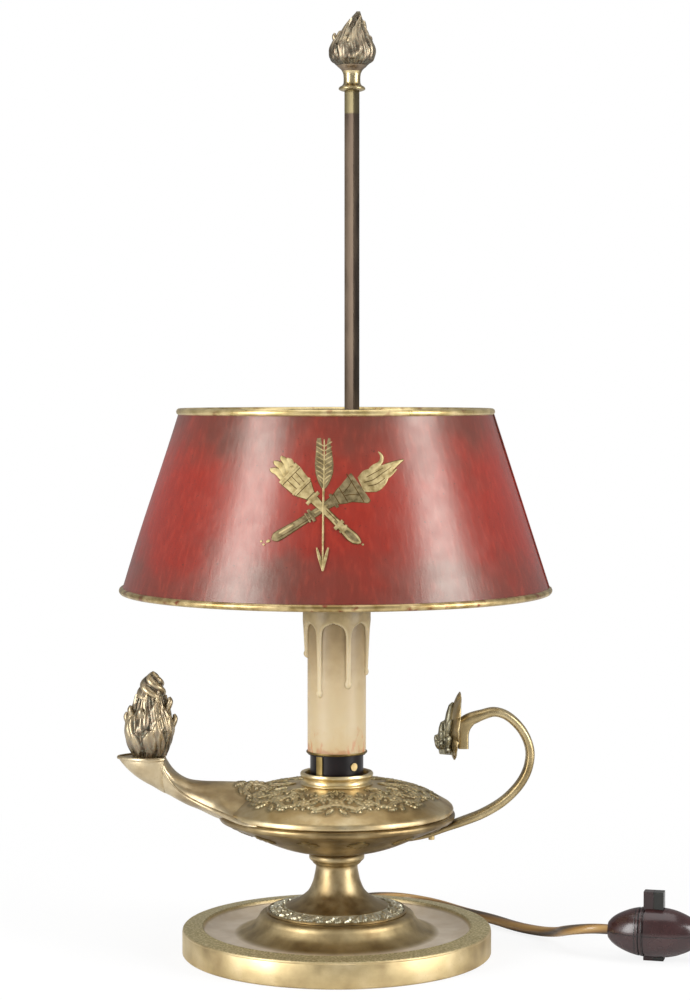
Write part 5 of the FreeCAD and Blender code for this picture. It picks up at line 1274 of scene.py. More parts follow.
def petal_edge(piece, petals, depth, from_r):
    """Draws the rim of a flat disc in between its petals."""
    places, _ = points_of(piece)
    radius, angles = polar(places)
    share = np.clip((radius - from_r) / (ROSETTE_R - from_r), 0, 1)
    notch = np.abs(np.sin(angles * petals / 2 + math.pi / 2)) ** 0.7
    grow = 1 - share * depth * (1 - notch)
    places[:, 0] *= grow
    places[:, 1] *= grow
    ribs = np.cos(angles * petals) * 0.22 + np.cos(angles * petals * 3) * 0.10
    places[:, 2] += ribs * share * MM * (places[:, 2] > 0.1 * MM)
    put_points(piece, places)


def make_rosette(finishes):
    """The thumb rest: a domed gilt plate with petals, carrying a cast palmette of fleshy leaves."""
    rings = [(0.9, 4.3), (5.0, 4.2), (9.0, 3.8), (12.0, 3.1), (14.4, 2.2), (16.0, 1.3), (16.6, 0.8),
             (16.2, 0.4), (13.0, 0.1), (8.0, -0.3), (0.9, -0.5)]
    plate = turned("rosette_plate_pressed", in_metres(smooth_line(rings, 3)), 192)
    petal_edge(plate, 8, 0.08, 11.0)
    face_left(plate, ROSETTE_X + 1.8)
    paint(plate, finishes["handle"])
    finish_piece(plate, LAMP, "gilt_brass", "rosette_plate")

    leaves = [palm_leaf(*row) for row in PALM_BACK + PALM_FRONT + PALM_FOOT]
    bpy.ops.mesh.primitive_cube_add(size=1, location=(-12.2 * MM, 0, 4.0 * MM))
    foot = bpy.context.object
    foot.scale = (3.2 * MM, 9.0 * MM, 7.6 * MM)
    bpy.ops.object.transform_apply(location=True, rotation=True, scale=True)
    flower = join("rosette_flower_cast", leaves + [foot])
    cast_together(flower, 0.34, 2)
    face_left(flower, ROSETTE_X + 1.0)
    paint(flower, finishes["verdigris"])
    finish_piece(flower, LAMP, "aged_brass", "rosette_flower", smooth=50)


# Leaves of the palmette: degrees from upright, length, half width, and how far root and tip stand out
PALM_BACK = ((-84, 11, 2.5, 3.6, 2.6), (-58, 14, 2.7, 3.8, 2.8), (-30, 18, 3.0, 4.2, 3.0),
             (0, 23, 3.3, 4.6, 2.6), (30, 18, 3.0, 4.2, 3.0), (58, 14, 2.7, 3.8, 2.8),
             (84, 11, 2.5, 3.6, 2.6))
PALM_FRONT = ((-62, 8.5, 2.1, 6.0, 6.2), (-32, 11, 2.4, 6.4, 6.4), (0, 13.5, 2.7, 6.8, 6.2),
              (32, 11, 2.4, 6.4, 6.4), (62, 8.5, 2.1, 6.0, 6.2))
PALM_FOOT = ((-45, 5, 1.8, 7.6, 8.6), (0, 6.5, 2.2, 7.8, 8.9), (45, 5, 1.8, 7.6, 8.6))


def palm_leaf(degrees, length, wide, root_out, tip_out):
    """One leaf of the palmette, rising from its foot and curling at the tip; the plate's up is -X here."""
    turn = math.radians(degrees)
    up = Vector((math.cos(turn), math.sin(turn), 0))
    root = Vector((-11.5, 0, 0))
    path = []
    widths = []
    for share, breadth, arch in ((0.0, 0.6, 0.0), (0.25, 0.9, 0.3), (0.5, 1.0, 0.6), (0.75, 0.85, 0.9),
                                 (0.92, 0.55, 1.0), (1.0, 0.15, 0.4)):
        out = root_out + (tip_out - root_out) * share + arch
        path.append((root + up * length * share + Vector((0, 0, out))) * MM)
        widths.append(wide * breadth * MM)
    across = Vector((-math.sin(turn), math.cos(turn), 0))
    return swept("palm_leaf", path, widths, [w * 0.72 for w in widths], sides=12, wide=across)


# Candle, holder and cup

SLEEVE_R = 14.15
SLEEVE_LOW = 98.2
SLEEVE_HIGH = 174.2
# Azimuth of each run of wax, and the height where it ends
DRIPS = ((190, 144.2), (235.5, 126.0), (293, 130.4), (348, 135.6), (38, 128.0), (88, 142.0), (140, 132.0))
ARCH_TOP = 162.6
WAX_THICK = 2.3
WAX_THIN = 1.15
DROP_R = 1.65


def make_cup(finishes):
    """The turned gallery that the candle tube stands in."""
    base_z = 82.2
    outer = [(15.4, 0.0), (17.4, 0.0), (17.6, 0.5), (17.3, 1.1), (16.6, 1.6), (16.4, 2.5), (16.6, 3.4),
             (17.3, 3.9), (17.7, 4.6), (17.7, 5.4), (17.3, 6.0), (16.4, 6.1)]
    inner = [(15.4, 5.7), (15.1, 3.0)]
    cup = turned("candle_cup_turned", in_metres(outer + inner, base_z * MM), 128)
    round_edges(cup, 0.15, 2, 50)
    paint(cup, finishes["polished"])
    finish_piece(cup, LAMP, "gilt_brass", "candle_cup")


def make_candle(finishes):
    """The candle tube: card dipped in wax, with a skirt of melted wax and runs down its side."""
    bottom = [(13.2, SLEEVE_LOW), (SLEEVE_R, SLEEVE_LOW)]
    rows = 160
    wall = []
    for i in range(1, rows + 1):
        wall.append((SLEEVE_R, SLEEVE_LOW + (SLEEVE_HIGH - 1.0 - SLEEVE_LOW) * i / rows))
    top = [(SLEEVE_R - 0.3, SLEEVE_HIGH - 0.3), (13.4, SLEEVE_HIGH), (13.1, SLEEVE_HIGH - 0.4)]
    tube = turned("candle_tube_waxed", in_metres(bottom + wall + top), 400)
    places, _ = points_of(tube)
    radius, angles = polar(places)
    angles = np.degrees(angles)
    heights = places[:, 2] / MM
    outside = (radius > SLEEVE_R - 0.05) & (heights > SLEEVE_LOW + 1)
    below = np.clip(ARCH_TOP - heights, 0.02, None)
    wax = np.where(heights > ARCH_TOP, 1.0, 0.0)
    for azimuth, end in DRIPS:
        apart = np.abs((angles - azimuth + 180) % 360 - 180) * math.pi / 180 * SLEEVE_R
        # A run narrows as it falls, from the whole arch to a thread with a drop at its end
        wide = 1.1 + 11.0 * np.exp(-below / 1.6)
        run = np.where(heights > end + 1.5, np.sqrt(np.clip(1 - (apart / wide) ** 4, 0, 1)), 0)
        from_drop = apart ** 2 + ((heights - end - 1.7) * 0.8) ** 2
        drop = np.sqrt(np.clip(1 - from_drop / DROP_R ** 2, 0, 1)) * 1.35
        wax = np.maximum(wax, np.maximum(run, drop))
    # The skirt is thick under the shade and thins down its runs
    thick = WAX_THIN + (WAX_THICK - WAX_THIN) * np.clip((heights - 138) / 24, 0, 1)
    push_out(tube, np.where(outside, wax * thick, 0) * MM, WAX_THICK * MM)
    ring = [(SLEEVE_R - 0.6, 97.6), (14.6, 97.6), (14.85, 98.1), (14.6, 98.6), (SLEEVE_R - 0.6, 98.6)]
    foot = turned("candle_foot_ring", in_metres(ring), 128)
    paint(tube, finishes["candle"])
    paint(foot, finishes["dull_fitting"])
    finish_piece(tube, LAMP, "candle_tube", "candle_sleeve")
    finish_piece(foot, LAMP, "gilt_brass")


# Shade

SHADE_X = -0.5
SHADE_LOW = (103.05, 177.0)
SHADE_HIGH = (75.35, 262.7)
TIN = 0.6
RIM_WIRE_R = 1.65
RIM_SIDES = 12


def shade_r(height):
    """The shade's outer radius at a height, in millimetres."""
    share = (height - SHADE_LOW[1]) / (SHADE_HIGH[1] - SHADE_LOW[1])
    return SHADE_LOW[0] + (SHADE_HIGH[0] - SHADE_LOW[0]) * share


def shade_point(azimuth, height, lift=0.0):
    """A point over the shade's skin, in metres; azimuth in degrees."""
    turn = math.radians(azimuth)
    out = shade_r(height) + lift
    return Vector((SHADE_X + math.cos(turn) * out, math.sin(turn) * out, height)) * MM


def make_shade(finishes, look):
    """The tin shade: a cone rolled from sheet, red outside and cream inside, with gilt wire rims."""
    rows = 24
    outside = []
    for i in range(rows + 1):
        height = SHADE_LOW[1] + (SHADE_HIGH[1] - SHADE_LOW[1]) * i / rows
        outside.append((shade_r(height), height))
    inside = [(radius - TIN, height) for radius, height in reversed(outside)]
    tin = turned("shade_tin", in_metres(outside + inside), 256, at=(SHADE_X * MM, 0.0))
    places, _ = points_of(tin)
    angles = np.arctan2(places[:, 1], places[:, 0] - SHADE_X * MM)
    heights = places[:, 2] / MM
    # Old sheet is never quite round: soft waves of a fifth of a millimetre, none at the rims
    free = np.clip((heights - SHADE_LOW[1]) * (SHADE_HIGH[1] - heights) / 400, 0, 1)
    waves = np.sin(3 * angles + 0.05 * heights) + 0.6 * np.sin(7 * angles + 1.3 - 0.08 * heights)
    outward = np.stack([np.cos(angles), np.sin(angles), np.zeros_like(angles)], 1)
    put_points(tin, places + outward * (waves * free * look.dents)[:, None])
    paint(tin, finishes["lacquer"], finishes["cream"])
    for face in tin.data.polygons:
        centre = Vector((face.center.x - SHADE_X * MM, face.center.y, 0))
        if face.normal.dot(centre) < 0:
            face.material_index = 1
    finish_piece(tin, SHADE, "red_lacquer", "shade_cone")

    lap = shade_strip("shade_lap_seam", -7.0, 1.0, SHADE_LOW[1] + 1.5, SHADE_HIGH[1] - 1.5, 0.55)
    paint(lap, finishes["lacquer"])
    finish_piece(lap, SHADE, "red_lacquer")

    rims = (("shade_rim_low", "shade_bottom_rim", "low_rim", SHADE_LOW),
            ("shade_rim_high", "shade_top_rim", "rim", SHADE_HIGH))
    for name, node, finish, (radius, height) in rims:
        rings = []
        for turn in round_steps(RIM_SIDES):
            out = RIM_WIRE_R * math.cos(turn + 0.1)
            rings.append((radius - TIN / 2 + out, height + RIM_WIRE_R * math.sin(turn + 0.1)))
        rim = turned(name, in_metres(rings), 256, at=(SHADE_X * MM, 0.0))
        paint(rim, finishes[finish])
        finish_piece(rim, SHADE, "shade_rim_gold", node, smooth=60)


def shade_strip(name, first, last, low_z, high_z, thick):
    """A thin sheet lying on the shade between two azimuths and two heights."""
    deselect()
    bpy.ops.mesh.primitive_grid_add(x_subdivisions=8, y_subdivisions=24, size=2)
    piece = bpy.context.object
    piece.name = name
    for vertex in piece.data.vertices:
        azimuth = first + (last - first) * (vertex.co.x + 1) / 2
        height = low_z + (high_z - low_z) * (vertex.co.y + 1) / 2
        vertex.co = shade_point(azimuth, height)
    modifier(piece, "SOLIDIFY", thickness=thick * MM, offset=1.0)
    apply_modifiers(piece)
    make_normals_out(piece)
    return piece


# The painted trophy on the shade's front

TROPHY_X = -6.0
TROPHY_Z = 220.6
# The ways that the quiver and the torch point
DOWN = (1.0, -1.0)
UP_RIGHT = (0.85, 0.53)


def band(name, rows, lift, thick):
    """A flat painted stroke on the shade. Rows are across, up and half width, in millimetres from the
    trophy's crossing, as seen from the front."""
    line = smooth_line(rows, 4)
    cells = 6
    deselect()
    bpy.ops.mesh.primitive_grid_add(x_subdivisions=cells, y_subdivisions=len(line) - 1, size=2)
    piece = bpy.context.object
    piece.name = name
    last = len(line) - 1
    for vertex in piece.data.vertices:
        i = round((vertex.co.y + 1) / 2 * last)
        here = Vector(line[i][:2])
        along = (Vector(line[min(i + 1, last)][:2]) - Vector(line[max(i - 1, 0)][:2])).normalized()
        side = Vector((along.y, -along.x))
        place = here + side * vertex.co.x * max(line[i][2], 0.05)
        dome = thick * (1 - 0.6 * vertex.co.x ** 2)
        vertex.co = trophy_point(place.x, place.y, lift + dome)
    modifier(piece, "SOLIDIFY", thickness=(thick + 0.2) * MM, offset=-1.0)
    apply_modifiers(piece)
    make_normals_out(piece)
    return piece


def trophy_point(across, up, lift):
    """A point over the shade's skin at a place of the trophy, in metres."""
    height = TROPHY_Z + up
    x = TROPHY_X + across - SHADE_X
    out = shade_r(height) + lift
    return Vector((SHADE_X + x, -math.sqrt(out ** 2 - x ** 2), height)) * MM


# Rows of the larger strokes: across, up and half width
QUIVER = ((-15.6, 15.4, 5.0), (-14.4, 14.4, 5.7), (-11.6, 11.5, 5.2), (-9.0, 9.0, 4.8), (-6.9, 6.9, 3.3),
          (-5.4, 5.4, 2.3), (-3.4, 3.4, 1.8), (0.0, 0.0, 1.5), (4.0, -3.9, 1.3), (8.6, -8.4, 1.5),
          (12.5, -12.0, 2.1), (15.3, -14.1, 1.6), (17.0, -15.1, 0.3))
TORCH = ((16.6, 10.2, 8.0), (15.6, 9.5, 8.5), (13.8, 8.4, 6.6), (11.2, 7.0, 4.7), (8.5, 5.4, 3.6),
         (5.8, 3.8, 2.3), (3.0, 2.0, 1.8), (0.0, 0.0, 1.5), (-5.0, -3.2, 1.5), (-12.0, -7.6, 1.6),
         (-18.0, -11.2, 1.9), (-21.0, -13.0, 1.7), (-22.6, -13.9, 0.3))
FLAME = ((17.0, 10.4, 3.4), (20.5, 12.0, 5.0), (24.5, 14.2, 4.0), (29.0, 17.2, 2.4), (33.0, 19.6, 1.1),
         (36.4, 21.2, 0.1))
FLAME_CURL = ((20.8, 14.6, 1.8), (22.9, 17.6, 1.5), (25.3, 19.4, 1.0), (26.5, 21.4, 0.8),
              (26.2, 23.4, 0.6), (24.9, 24.9, 0.15))
FLAME_LOW = ((20.0, 9.4, 2.0), (24.0, 9.0, 1.7), (27.4, 10.9, 1.0), (29.4, 13.2, 0.15))
FLAME_SIDE = ((26.0, 13.4, 1.6), (30.0, 14.6, 1.0), (33.2, 17.0, 0.15))


def outlined(name, rows, lift, thick, edges, margin=0.32):
    """A painted stroke with a slightly wider dark one under it, which goes into the list of edges."""
    wider = [(across, up, half + margin) for across, up, half in rows]
    edges.append(band(name + "_edge", wider, lift - 0.03, thick * 0.7))
    return band(name, rows, lift, thick)


def crossbar(name, centre, along, half_length, half_wide, lift, thick):
    """A short stroke square to a direction, such as a collar or a dark line."""
    direction = Vector(along).normalized()
    side = Vector((direction.y, -direction.x))
    ends = [Vector(centre) + side * half_length * share for share in (-1.0, -0.5, 0.0, 0.5, 1.0)]
    return band(name, [(end.x, end.y, half_wide) for end in ends], lift, thick)


def strokes(rows_by_name):
    """Plain strokes, each from its name, rows, lift and thickness."""
    return [band(name, rows, lift, thick) for name, rows, lift, thick in rows_by_name]


def crossbars(name, bars, along, lift, thick):
    """Bars across one direction, each from its centre, half length and half width."""
    return [crossbar(name, centre, along, reach, half, lift, thick) for centre, reach, half in bars]


def gold_strokes(lines):
    """The bright parts: quiver with its feathers, arrow, and the torch's flame."""
    gold = [outlined("quiver", QUIVER, 0.14, 0.20, lines),
            outlined("torch_flame", FLAME, 0.05, 0.20, lines),
            outlined("flame_curl", FLAME_CURL, 0.05, 0.20, lines, 0.22),
            outlined("flame_low", FLAME_LOW, 0.05, 0.16, lines, 0.25),
            outlined("flame_side", FLAME_SIDE, 0.05, 0.16, lines, 0.25)]
    rings = (((-15.2, 15.0), 5.7, 0.6), ((-9.5, 9.5), 5.3, 0.5), ((-4.4, 4.4), 3.7, 0.8),
             ((7.3, -7.3), 2.6, 0.8), ((9.2, -9.0), 2.2, 0.5))
    gold += crossbars("quiver_ring", rings, DOWN, 0.24, 0.16)
    for k, tip in enumerate(((-23.6, 17.4), (-21.8, 20.8), (-18.6, 23.0), (-15.6, 22.2), (-13.4, 19.6))):
        foot = Vector((-15.4, 15.6)) + Vector((1, 1)).normalized() * (k - 2) * 1.9
        reach = Vector(tip) - foot
        mid = foot + reach * 0.5 + Vector((reach.y, -reach.x)) * 0.12
        rows = ((foot.x, foot.y, 1.1), (mid.x, mid.y, 1.45),
                (foot.x + reach.x * 0.85, foot.y + reach.y * 0.85, 1.0), (*tip, 0.2))
        gold.append(outlined("quiver_feather", rows, 0.10, 0.16, lines, 0.25))
    for side in (-1, 1):
        rows = ((side * 2.6, -17.2, 0.3), (side * 1.4, -21.6, 0.7), (0.1 + side * 0.1, -27.4, 0.2))
        gold.append(band("arrow_barb", rows, 0.26, 0.14))
    gold += strokes((
        ("arrow_shaft", ((0.4, 9.0, 0.45), (0.3, 0.0, 0.4), (0.2, -14.0, 0.4), (0.1, -27.0, 0.3)), 0.34,
         0.14),
        ("torch_knob", ((-23.5, -14.3, 0.4), (-24.3, -14.7, 0.6), (-25.1, -15.1, 0.3)), 0.08, 0.12),
        ("arrow_rib", ((0.5, 8.6, 0.3), (0.7, 20.0, 0.32), (0.7, 30.5, 0.25)), 0.40, 0.08)))
    for k in range(9):
        start = 10.6 + 2.1 * k
        reach = min(3.5, 1.2 + 0.45 * (start - 9.0))
        for side in (-1, 1):
            rows = ((0.7 + side * 0.3, start, 0.22), (0.7 + side * reach * 0.5, start + 1.0, 0.3),
                    (0.7 + side * reach, start + 2.0, 0.18))
            gold.append(band("vane_line", rows, 0.38, 0.06))
    gold += strokes((("torch_glint", ((-19.5, -11.2, 0.3), (-13.0, -7.4, 0.35)), 0.24, 0.06),
                     ("torch_glint", ((-3.6, -2.2, 0.3), (2.2, 1.4, 0.35)), 0.24, 0.06)))
    for across, up in ((-27.4, -14.8), (-26.3, -16.2), (17.9, -15.9)):
        rows = ((across - 0.5, up, 0.25), (across, up, 0.45), (across + 0.5, up, 0.25))
        gold.append(band("paint_dot", rows, 0.08, 0.10))
    return gold


def olive_strokes(lines):
    """The darker parts: the torch's shaft, the arrow's vanes and the quiver's foot."""
    olive = [outlined("torch", TORCH, 0.04, 0.18, lines)]
    rings = (((5.0, 3.3), 3.4, 0.7), ((-5.0, -3.2), 2.9, 0.7), ((-6.6, -4.2), 2.3, 0.4))
    olive += crossbars("torch_ring", rings, UP_RIGHT, 0.14, 0.16)
    for side in (-1, 1):
        rows = ((0.5 + side * 0.3, 8.8, 0.4), (0.6 + side * 1.2, 12.0, 1.3), (0.7 + side * 1.9, 16.5, 2.0),
                (0.7 + side * 2.1, 22.0, 2.15), (0.7 + side * 2.1, 28.0, 2.1), (0.7 + side * 2.3, 31.0, 1.3))
        olive.append(outlined("arrow_vane", rows, 0.20, 0.16, lines, 0.25))
    return olive + strokes((
        ("quiver_shaft", ((5.4, -5.3, 0.5), (6.6, -6.5, 0.7)), 0.36, 0.06),
        ("quiver_end", ((10.2, -9.9, 0.7), (12.6, -12.0, 1.3), (14.8, -13.7, 0.9), (16.0, -14.5, 0.2)), 0.36,
         0.06)))


def ink_strokes(lines):
    """The dark line work, with the edges that the other strokes have put into the list."""
    for offset in (-2.6, 0.0, 2.6):
        rows = ((-13.9 + offset * 0.7, 13.9 + offset * 0.7, 0.16),
                (-11.6 + offset * 0.66, 11.6 + offset * 0.66, 0.16),
                (-10.0 + offset * 0.62, 10.0 + offset * 0.62, 0.14))
        lines.append(band("quiver_line", rows, 0.36, 0.06))
    bars = (((-14.0, 14.0), 5.5, 0.16), ((-8.6, 8.6), 4.5, 0.16), ((-5.4, 5.4), 2.3, 0.16))
    lines += crossbars("quiver_dark", bars, DOWN, 0.36, 0.06)
    bars = (((14.6, 8.9), 7.4, 0.2), ((9.3, 5.9), 3.7, 0.2), ((6.2, 4.1), 2.4, 0.2))
    lines += crossbars("torch_dark", bars, UP_RIGHT, 0.26, 0.06)
    return lines + strokes((
        ("flame_line", ((18.6, 11.4, 0.2), (22.4, 12.4, 0.2), (26.6, 15.2, 0.16), (31.0, 18.2, 0.1)), 0.26,
         0.06),
        ("flame_line", ((19.6, 13.6, 0.16), (23.0, 15.4, 0.16), (27.0, 17.6, 0.1)), 0.26, 0.06),
        ("flame_line", ((20.4, 9.8, 0.14), (24.2, 10.6, 0.16), (28.0, 13.2, 0.1)), 0.26, 0.06),
        ("torch_line", ((9.6, 5.4, 0.14), (12.6, 6.0, 0.2), (16.2, 5.8, 0.16)), 0.24, 0.06),
        ("torch_line", ((8.8, 6.4, 0.14), (11.4, 9.2, 0.2), (13.4, 12.6, 0.16)), 0.24, 0.06),
        ("torch_shaft_line", ((-4.0, -3.4, 0.14), (-12.0, -8.6, 0.16), (-20.0, -13.4, 0.14)), 0.24, 0.06),
        ("quiver_shaft_line", ((1.4, -0.6, 0.14), (4.4, -3.6, 0.16), (6.6, -5.8, 0.14)), 0.36, 0.06)))


def make_trophy(finishes):
    """An arrow, a quiver and a torch, crossed: gold size on the lacquer, with darker line work."""
    lines = []
    for name, made, finish, slot in (("trophy_gold", gold_strokes, "gold_leaf", "shade_rim_gold"),
                                     ("trophy_olive", olive_strokes, "olive_gilt", "shade_rim_gold"),
                                     ("trophy_line_work", ink_strokes, "umber_line", "dark_bronze")):
        piece = join(name, made(lines))
        paint(piece, finishes[finish])
        finish_piece(piece, SHADE, slot, smooth=50)


# Rod

ROD_AT = (7.4, 22.0)
ROD_TURN = -33.0
ROD_SIDE = 5.5


def make_rod(finishes):
    """The square rod that carries the shade."""
    bottom = low("shade_rod").z
    top = high("shade_rod").z
    deselect()
    bpy.ops.mesh.primitive_cube_add(size=1, location=(ROD_AT[0] * MM, ROD_AT[1] * MM, (bottom + top) / 2))
    rod = bpy.context.object
    rod.name = "shade_rod_drawn"
    rod.scale = (ROD_SIDE * MM, ROD_SIDE * MM, top - bottom)
    rod.rotation_euler.z = math.radians(ROD_TURN)
    bpy.ops.object.transform_apply(location=True, rotation=True, scale=True)
    round_edges(rod, 0.35, 3, 40)
    paint(rod, finishes["rod"])
    finish_piece(rod, LAMP, "rod_brass", "shade_rod")


# The pieces that keep their exact solids

FITTINGS = {
    "felt": ("base_cover",),
    "steel": ("tie_rod", "tie_washer", "tie_nut", "flame_peg", "bulb_cap", "bulb_filament", "plug_pins"),
    "fitting": ("handle_rivets", "rosette_stud", "lock_nut", "terminal_screws", "screw_shell",
                "centre_contact", "rod_ferrule", "rod_nut", "shade_bar", "bar_rivets", "shade_collar",
                "switch_contacts"),
    "dull_fitting": ("lampholder_yoke",),
    "polished": ("thumb_screw",),
    "bakelite": ("lampholder_body", "cord_grommet"),
    "bulb": ("bulb_glass",),
    "wire": ("lamp_wires", "coil_tie"),
    "switch": ("switch_cap", "switch_body"),
    "maroon_bar": ("switch_push_bar",),
    "maroon": ("plug_body",),
}


def dress(node, material):
    """Gives a CAD solid its finish, with smooth round faces and crisp edges."""
    piece = NODES[node]
    paint(piece, material)
    modifier(piece, "WELD", merge_threshold=0.01 * MM)
    modifier(piece, "EDGE_SPLIT", split_angle=math.radians(30))
    for face in piece.data.polygons:
        face.use_smooth = True


def dress_fittings(finishes):
    """Dresses every solid that no modelled piece replaces."""
    for finish, nodes in FITTINGS.items():
        for node in nodes:
            dress(node, finishes[finish])


# Finishes


def make_finishes():
    """All the lamp's materials by name."""
    return {
        "foot": foot_brass(),
        "stem": ornament_brass("brass_stem", "baaa86", "a18e6a", "7f6c4a", 0.42),
        # The leaf band's near-white brass is a painted highlight
        "leaf_band_painted_highlight": ornament_brass("brass_leaf_band", "f4f0de", "dcd6bc", "b8b092", 0.42, "968a6a",
                                    "bec6b0"),
        "polished": brass("polished_brass", "e8d7af", "cebb8d", "a6916a", 0.34, 0.2),
        "bowl": ornament_brass("brass_bowl", "d5c8a6", "baa57c", "998260", 0.38, "5a4d32", "9da78c", 14.0),
        # The bowl's underside takes a darker copy of the bowl's brass: painted shade
        "bowl_under_painted_shade": ornament_brass("brass_bowl_under", "ac9973", "887451", "66553a", 0.38, "2c2416",
                                     "7f8468", 14.0),
        "spout": ornament_brass("brass_spout", "d2c4a6", "b9a888", "968467", 0.38, "5e5033", "9da78c", 14.0),
        "handle": brass("brass_handle", "c9b891", "a6946e", "857350", 0.40, 0.0, 0.0, 14.0, 0.0),
        "flame": ornament_brass("bronze_flame", "c0ae8c", "8b7b68", "645545", 0.38, "392f25", "868c7c"),
        "rod_top": brass("olive_brass", "cfc09a", "b3a27a", "867755", 0.30, 0.3, 0.1, 5.0),
        "verdigris": ornament_brass("green_brass", "a9a48b", "858170", "63614f", 0.45, "33342b", "8f9884"),
        "rod": rod_brass(),
        "fitting": brass("plain_brass", "d9c495", "b9a273", "8c774e", 0.32, 0.3),
        "dull_fitting": brass("brown_brass", "9a8757", "7c6a42", "57492d", 0.38, 0.4),
        "switch": switch_finish("maroon_switch_shell", "2a1616", "381f1f", (-8.3, -6.7, -5.0)),
        "steel": plain_metal("tinned_steel", "b4b2ac", 0.30),
        "candle": candle_card(SLEEVE_LOW * MM, SLEEVE_HIGH * MM),
        "bakelite": moulded("black_bakelite", "0d0909", "171011", 0.30, 0.0, 6.0, 0.2),
        "maroon": moulded("maroon_bakelite", "2c1717", "3c2121", 0.24, 0.5, 9.0),
        "maroon_bar": switch_finish("maroon_push_bar", "221212", "2c1918", (), True),
        "bulb": frosted_glass(),
        "wire": bare_wire(),
        "felt": wool_felt(),
        "lacquer": red_lacquer(SHADE_LOW[1] * MM, SHADE_HIGH[1] * MM),
        "cream": cream_paint(),
        "rim": gilt_paint("gilt_rim", "cfbb8a", "a8935f", 0.5, 0.26, 7.0),
        "low_rim": gilt_paint("gilt_low_rim", "bba678", "8d7648", 0.85, 0.28, 6.0),
        "gold_leaf": gilt_paint("gold_leaf", "b7a67a", "8e7c52", 0.0, 0.5),
        "olive_gilt": gilt_paint("olive_gilt", "8d7e5c", "63563a", 0.0, 0.5),
        "umber_line": gilt_paint("umber_line", "66502e", "4a3a22", 0.0, 0.6),
    }


# Stage

FLOOR_SIZE = 12.0
# The floor goes from lit to even white between these distances from the axis, in metres, and inside them
# the camera sees this share of even white
FLOOR_LIT_R = 0.16
FLOOR_WHITE_R = 0.42
FLOOR_EVEN = 0.86
WORLD_LIGHT = 0.35
WHITE = (1.0, 1.0, 1.0, 1.0)
LIGHT_TARGET = (0.0, 0.0, 0.20)
# Name, place, width, height and watts of each soft lamp
LAMPS = (("left_window", (-1.02, -0.74, 0.50), 0.52, 1.10, 19.0),
         ("right_window", (1.12, -0.55, 0.50), 0.50, 1.05, 17.5),
         ("top_panel", (0.0, 0.05, 1.35), 1.3, 1.1, 8.0))


def area_light(name, place, width, height, power):
    """A soft rectangular lamp that faces the middle of the object."""
    deselect()
    bpy.ops.object.light_add(type="AREA", location=place)
    light = bpy.context.object
    light.name = name
    light.data.shape = "RECTANGLE"
    light.data.size = width
    light.data.size_y = height
    light.data.energy = power
    light.rotation_euler = (Vector(LIGHT_TARGET) - Vector(place)).to_track_quat("-Z", "Y").to_euler()


def white_for_camera(tree):
    """One for what the camera sees directly or through glass, zero for the light that falls on things."""
    rays = add_node(tree, "LightPath")
    return add_node(tree, "Math", rays["Is Camera Ray"], rays["Is Transmission Ray"], operation="MAXIMUM")[0]


def make_floor():
    """A plain white floor: lit and shadowed near the lamp, even white for the camera farther out."""
    deselect()
    bpy.ops.mesh.primitive_plane_add(size=FLOOR_SIZE, location=(0, 0, 0))
    floor = bpy.context.object
    floor.name = "floor"
    material = bpy.data.materials.new("white_floor")
    material.use_nodes = True
    tree = material.node_tree
    tree.nodes.clear()
    place = add_node(tree, "TexCoord")["Object"]
    away = add_node(tree, "VectorMath", place, operation="LENGTH")["Value"]
    lit = add_node(tree, "BsdfDiffuse", (0.86, 0.86, 0.86, 1.0))[0]
    plain = add_node(tree, "Emission", WHITE, 1.0)[0]
    share = add_node(tree, "MapRange", away, FLOOR_LIT_R, FLOOR_WHITE_R, FLOOR_EVEN, 1.0)[0]
    amount = add_node(tree, "Math", white_for_camera(tree), share, operation="MULTIPLY")[0]
    add_node(tree, "OutputMaterial", add_node(tree, "MixShader", amount, lit, plain)[0])
    floor.data.materials.append(material)


def make_world():
    """White behind the lamp for the camera, and a dim even room for everything else."""
    world = bpy.data.worlds.new("white_room")
    bpy.context.scene.world = world
    world.use_nodes = True
    tree = world.node_tree
    tree.nodes.clear()
    room = add_node(tree, "Background", WHITE, WORLD_LIGHT)[0]
    plain = add_node(tree, "Background", WHITE, 1.0)[0]
    add_node(tree, "OutputWorld", add_node(tree, "MixShader", white_for_camera(tree), room, plain)[0])


def make_camera(look):
    """The camera, level with the shade's foot and looking a little down."""
    deselect()
    bpy.ops.object.camera_add(location=CAMERA_PLACE, rotation=(math.radians(90 - look.camera_pitch), 0, 0))
    camera = bpy.context.object
    camera.data.lens = look.camera_lens
    camera.data.sensor_width = 36.0
    camera.data.clip_end = 30.0
    camera.data.dof.use_dof = False
    bpy.context.scene.camera = camera


def make_stage(look):
    """Camera, floor, room and three soft lamps, as in a photographer's tent."""
    scene = bpy.context.scene
    scene.view_settings.view_transform = "Standard"
    scene.view_settings.look = "None"
    make_camera(look)
    make_floor()
    make_world()
    for name, place, width, height, power in LAMPS:
        area_light(name, place, width, height, power)


# Settings and operators


class LampLook(bpy.types.PropertyGroup):
    """Values that shape the lamp's looks."""

    camera_pitch: bpy.props.FloatProperty(
        name="Camera pitch", description="How far the camera looks down, in degrees", default=CAMERA_PITCH)
    camera_lens: bpy.props.FloatProperty(
        name="Camera lens", description="Focal length on a 36 mm sensor, in millimetres", default=CAMERA_LENS)
    relief: bpy.props.FloatProperty(
        name="Relief", description="Height of the bowl's ornament", default=1.0 * MM, subtype="DISTANCE",
        unit="LENGTH", precision=5)
    dents: bpy.props.FloatProperty(
        name="Dents", description="How far the shade's tin is out of round", default=0.22 * MM,
        subtype="DISTANCE", unit="LENGTH", precision=5)


class LampOperator:
    """What the lamp's operators share."""

    bl_options = {"REGISTER", "UNDO"}

    @classmethod
    def poll(cls, context):
        return context.scene is not None

    def execute(self, context):
        if not NODES:
            raise RuntimeError("the lamp's packed frame isn't loaded")
        self.build(context.scene.lamp_look)
        return {"FINISHED"}


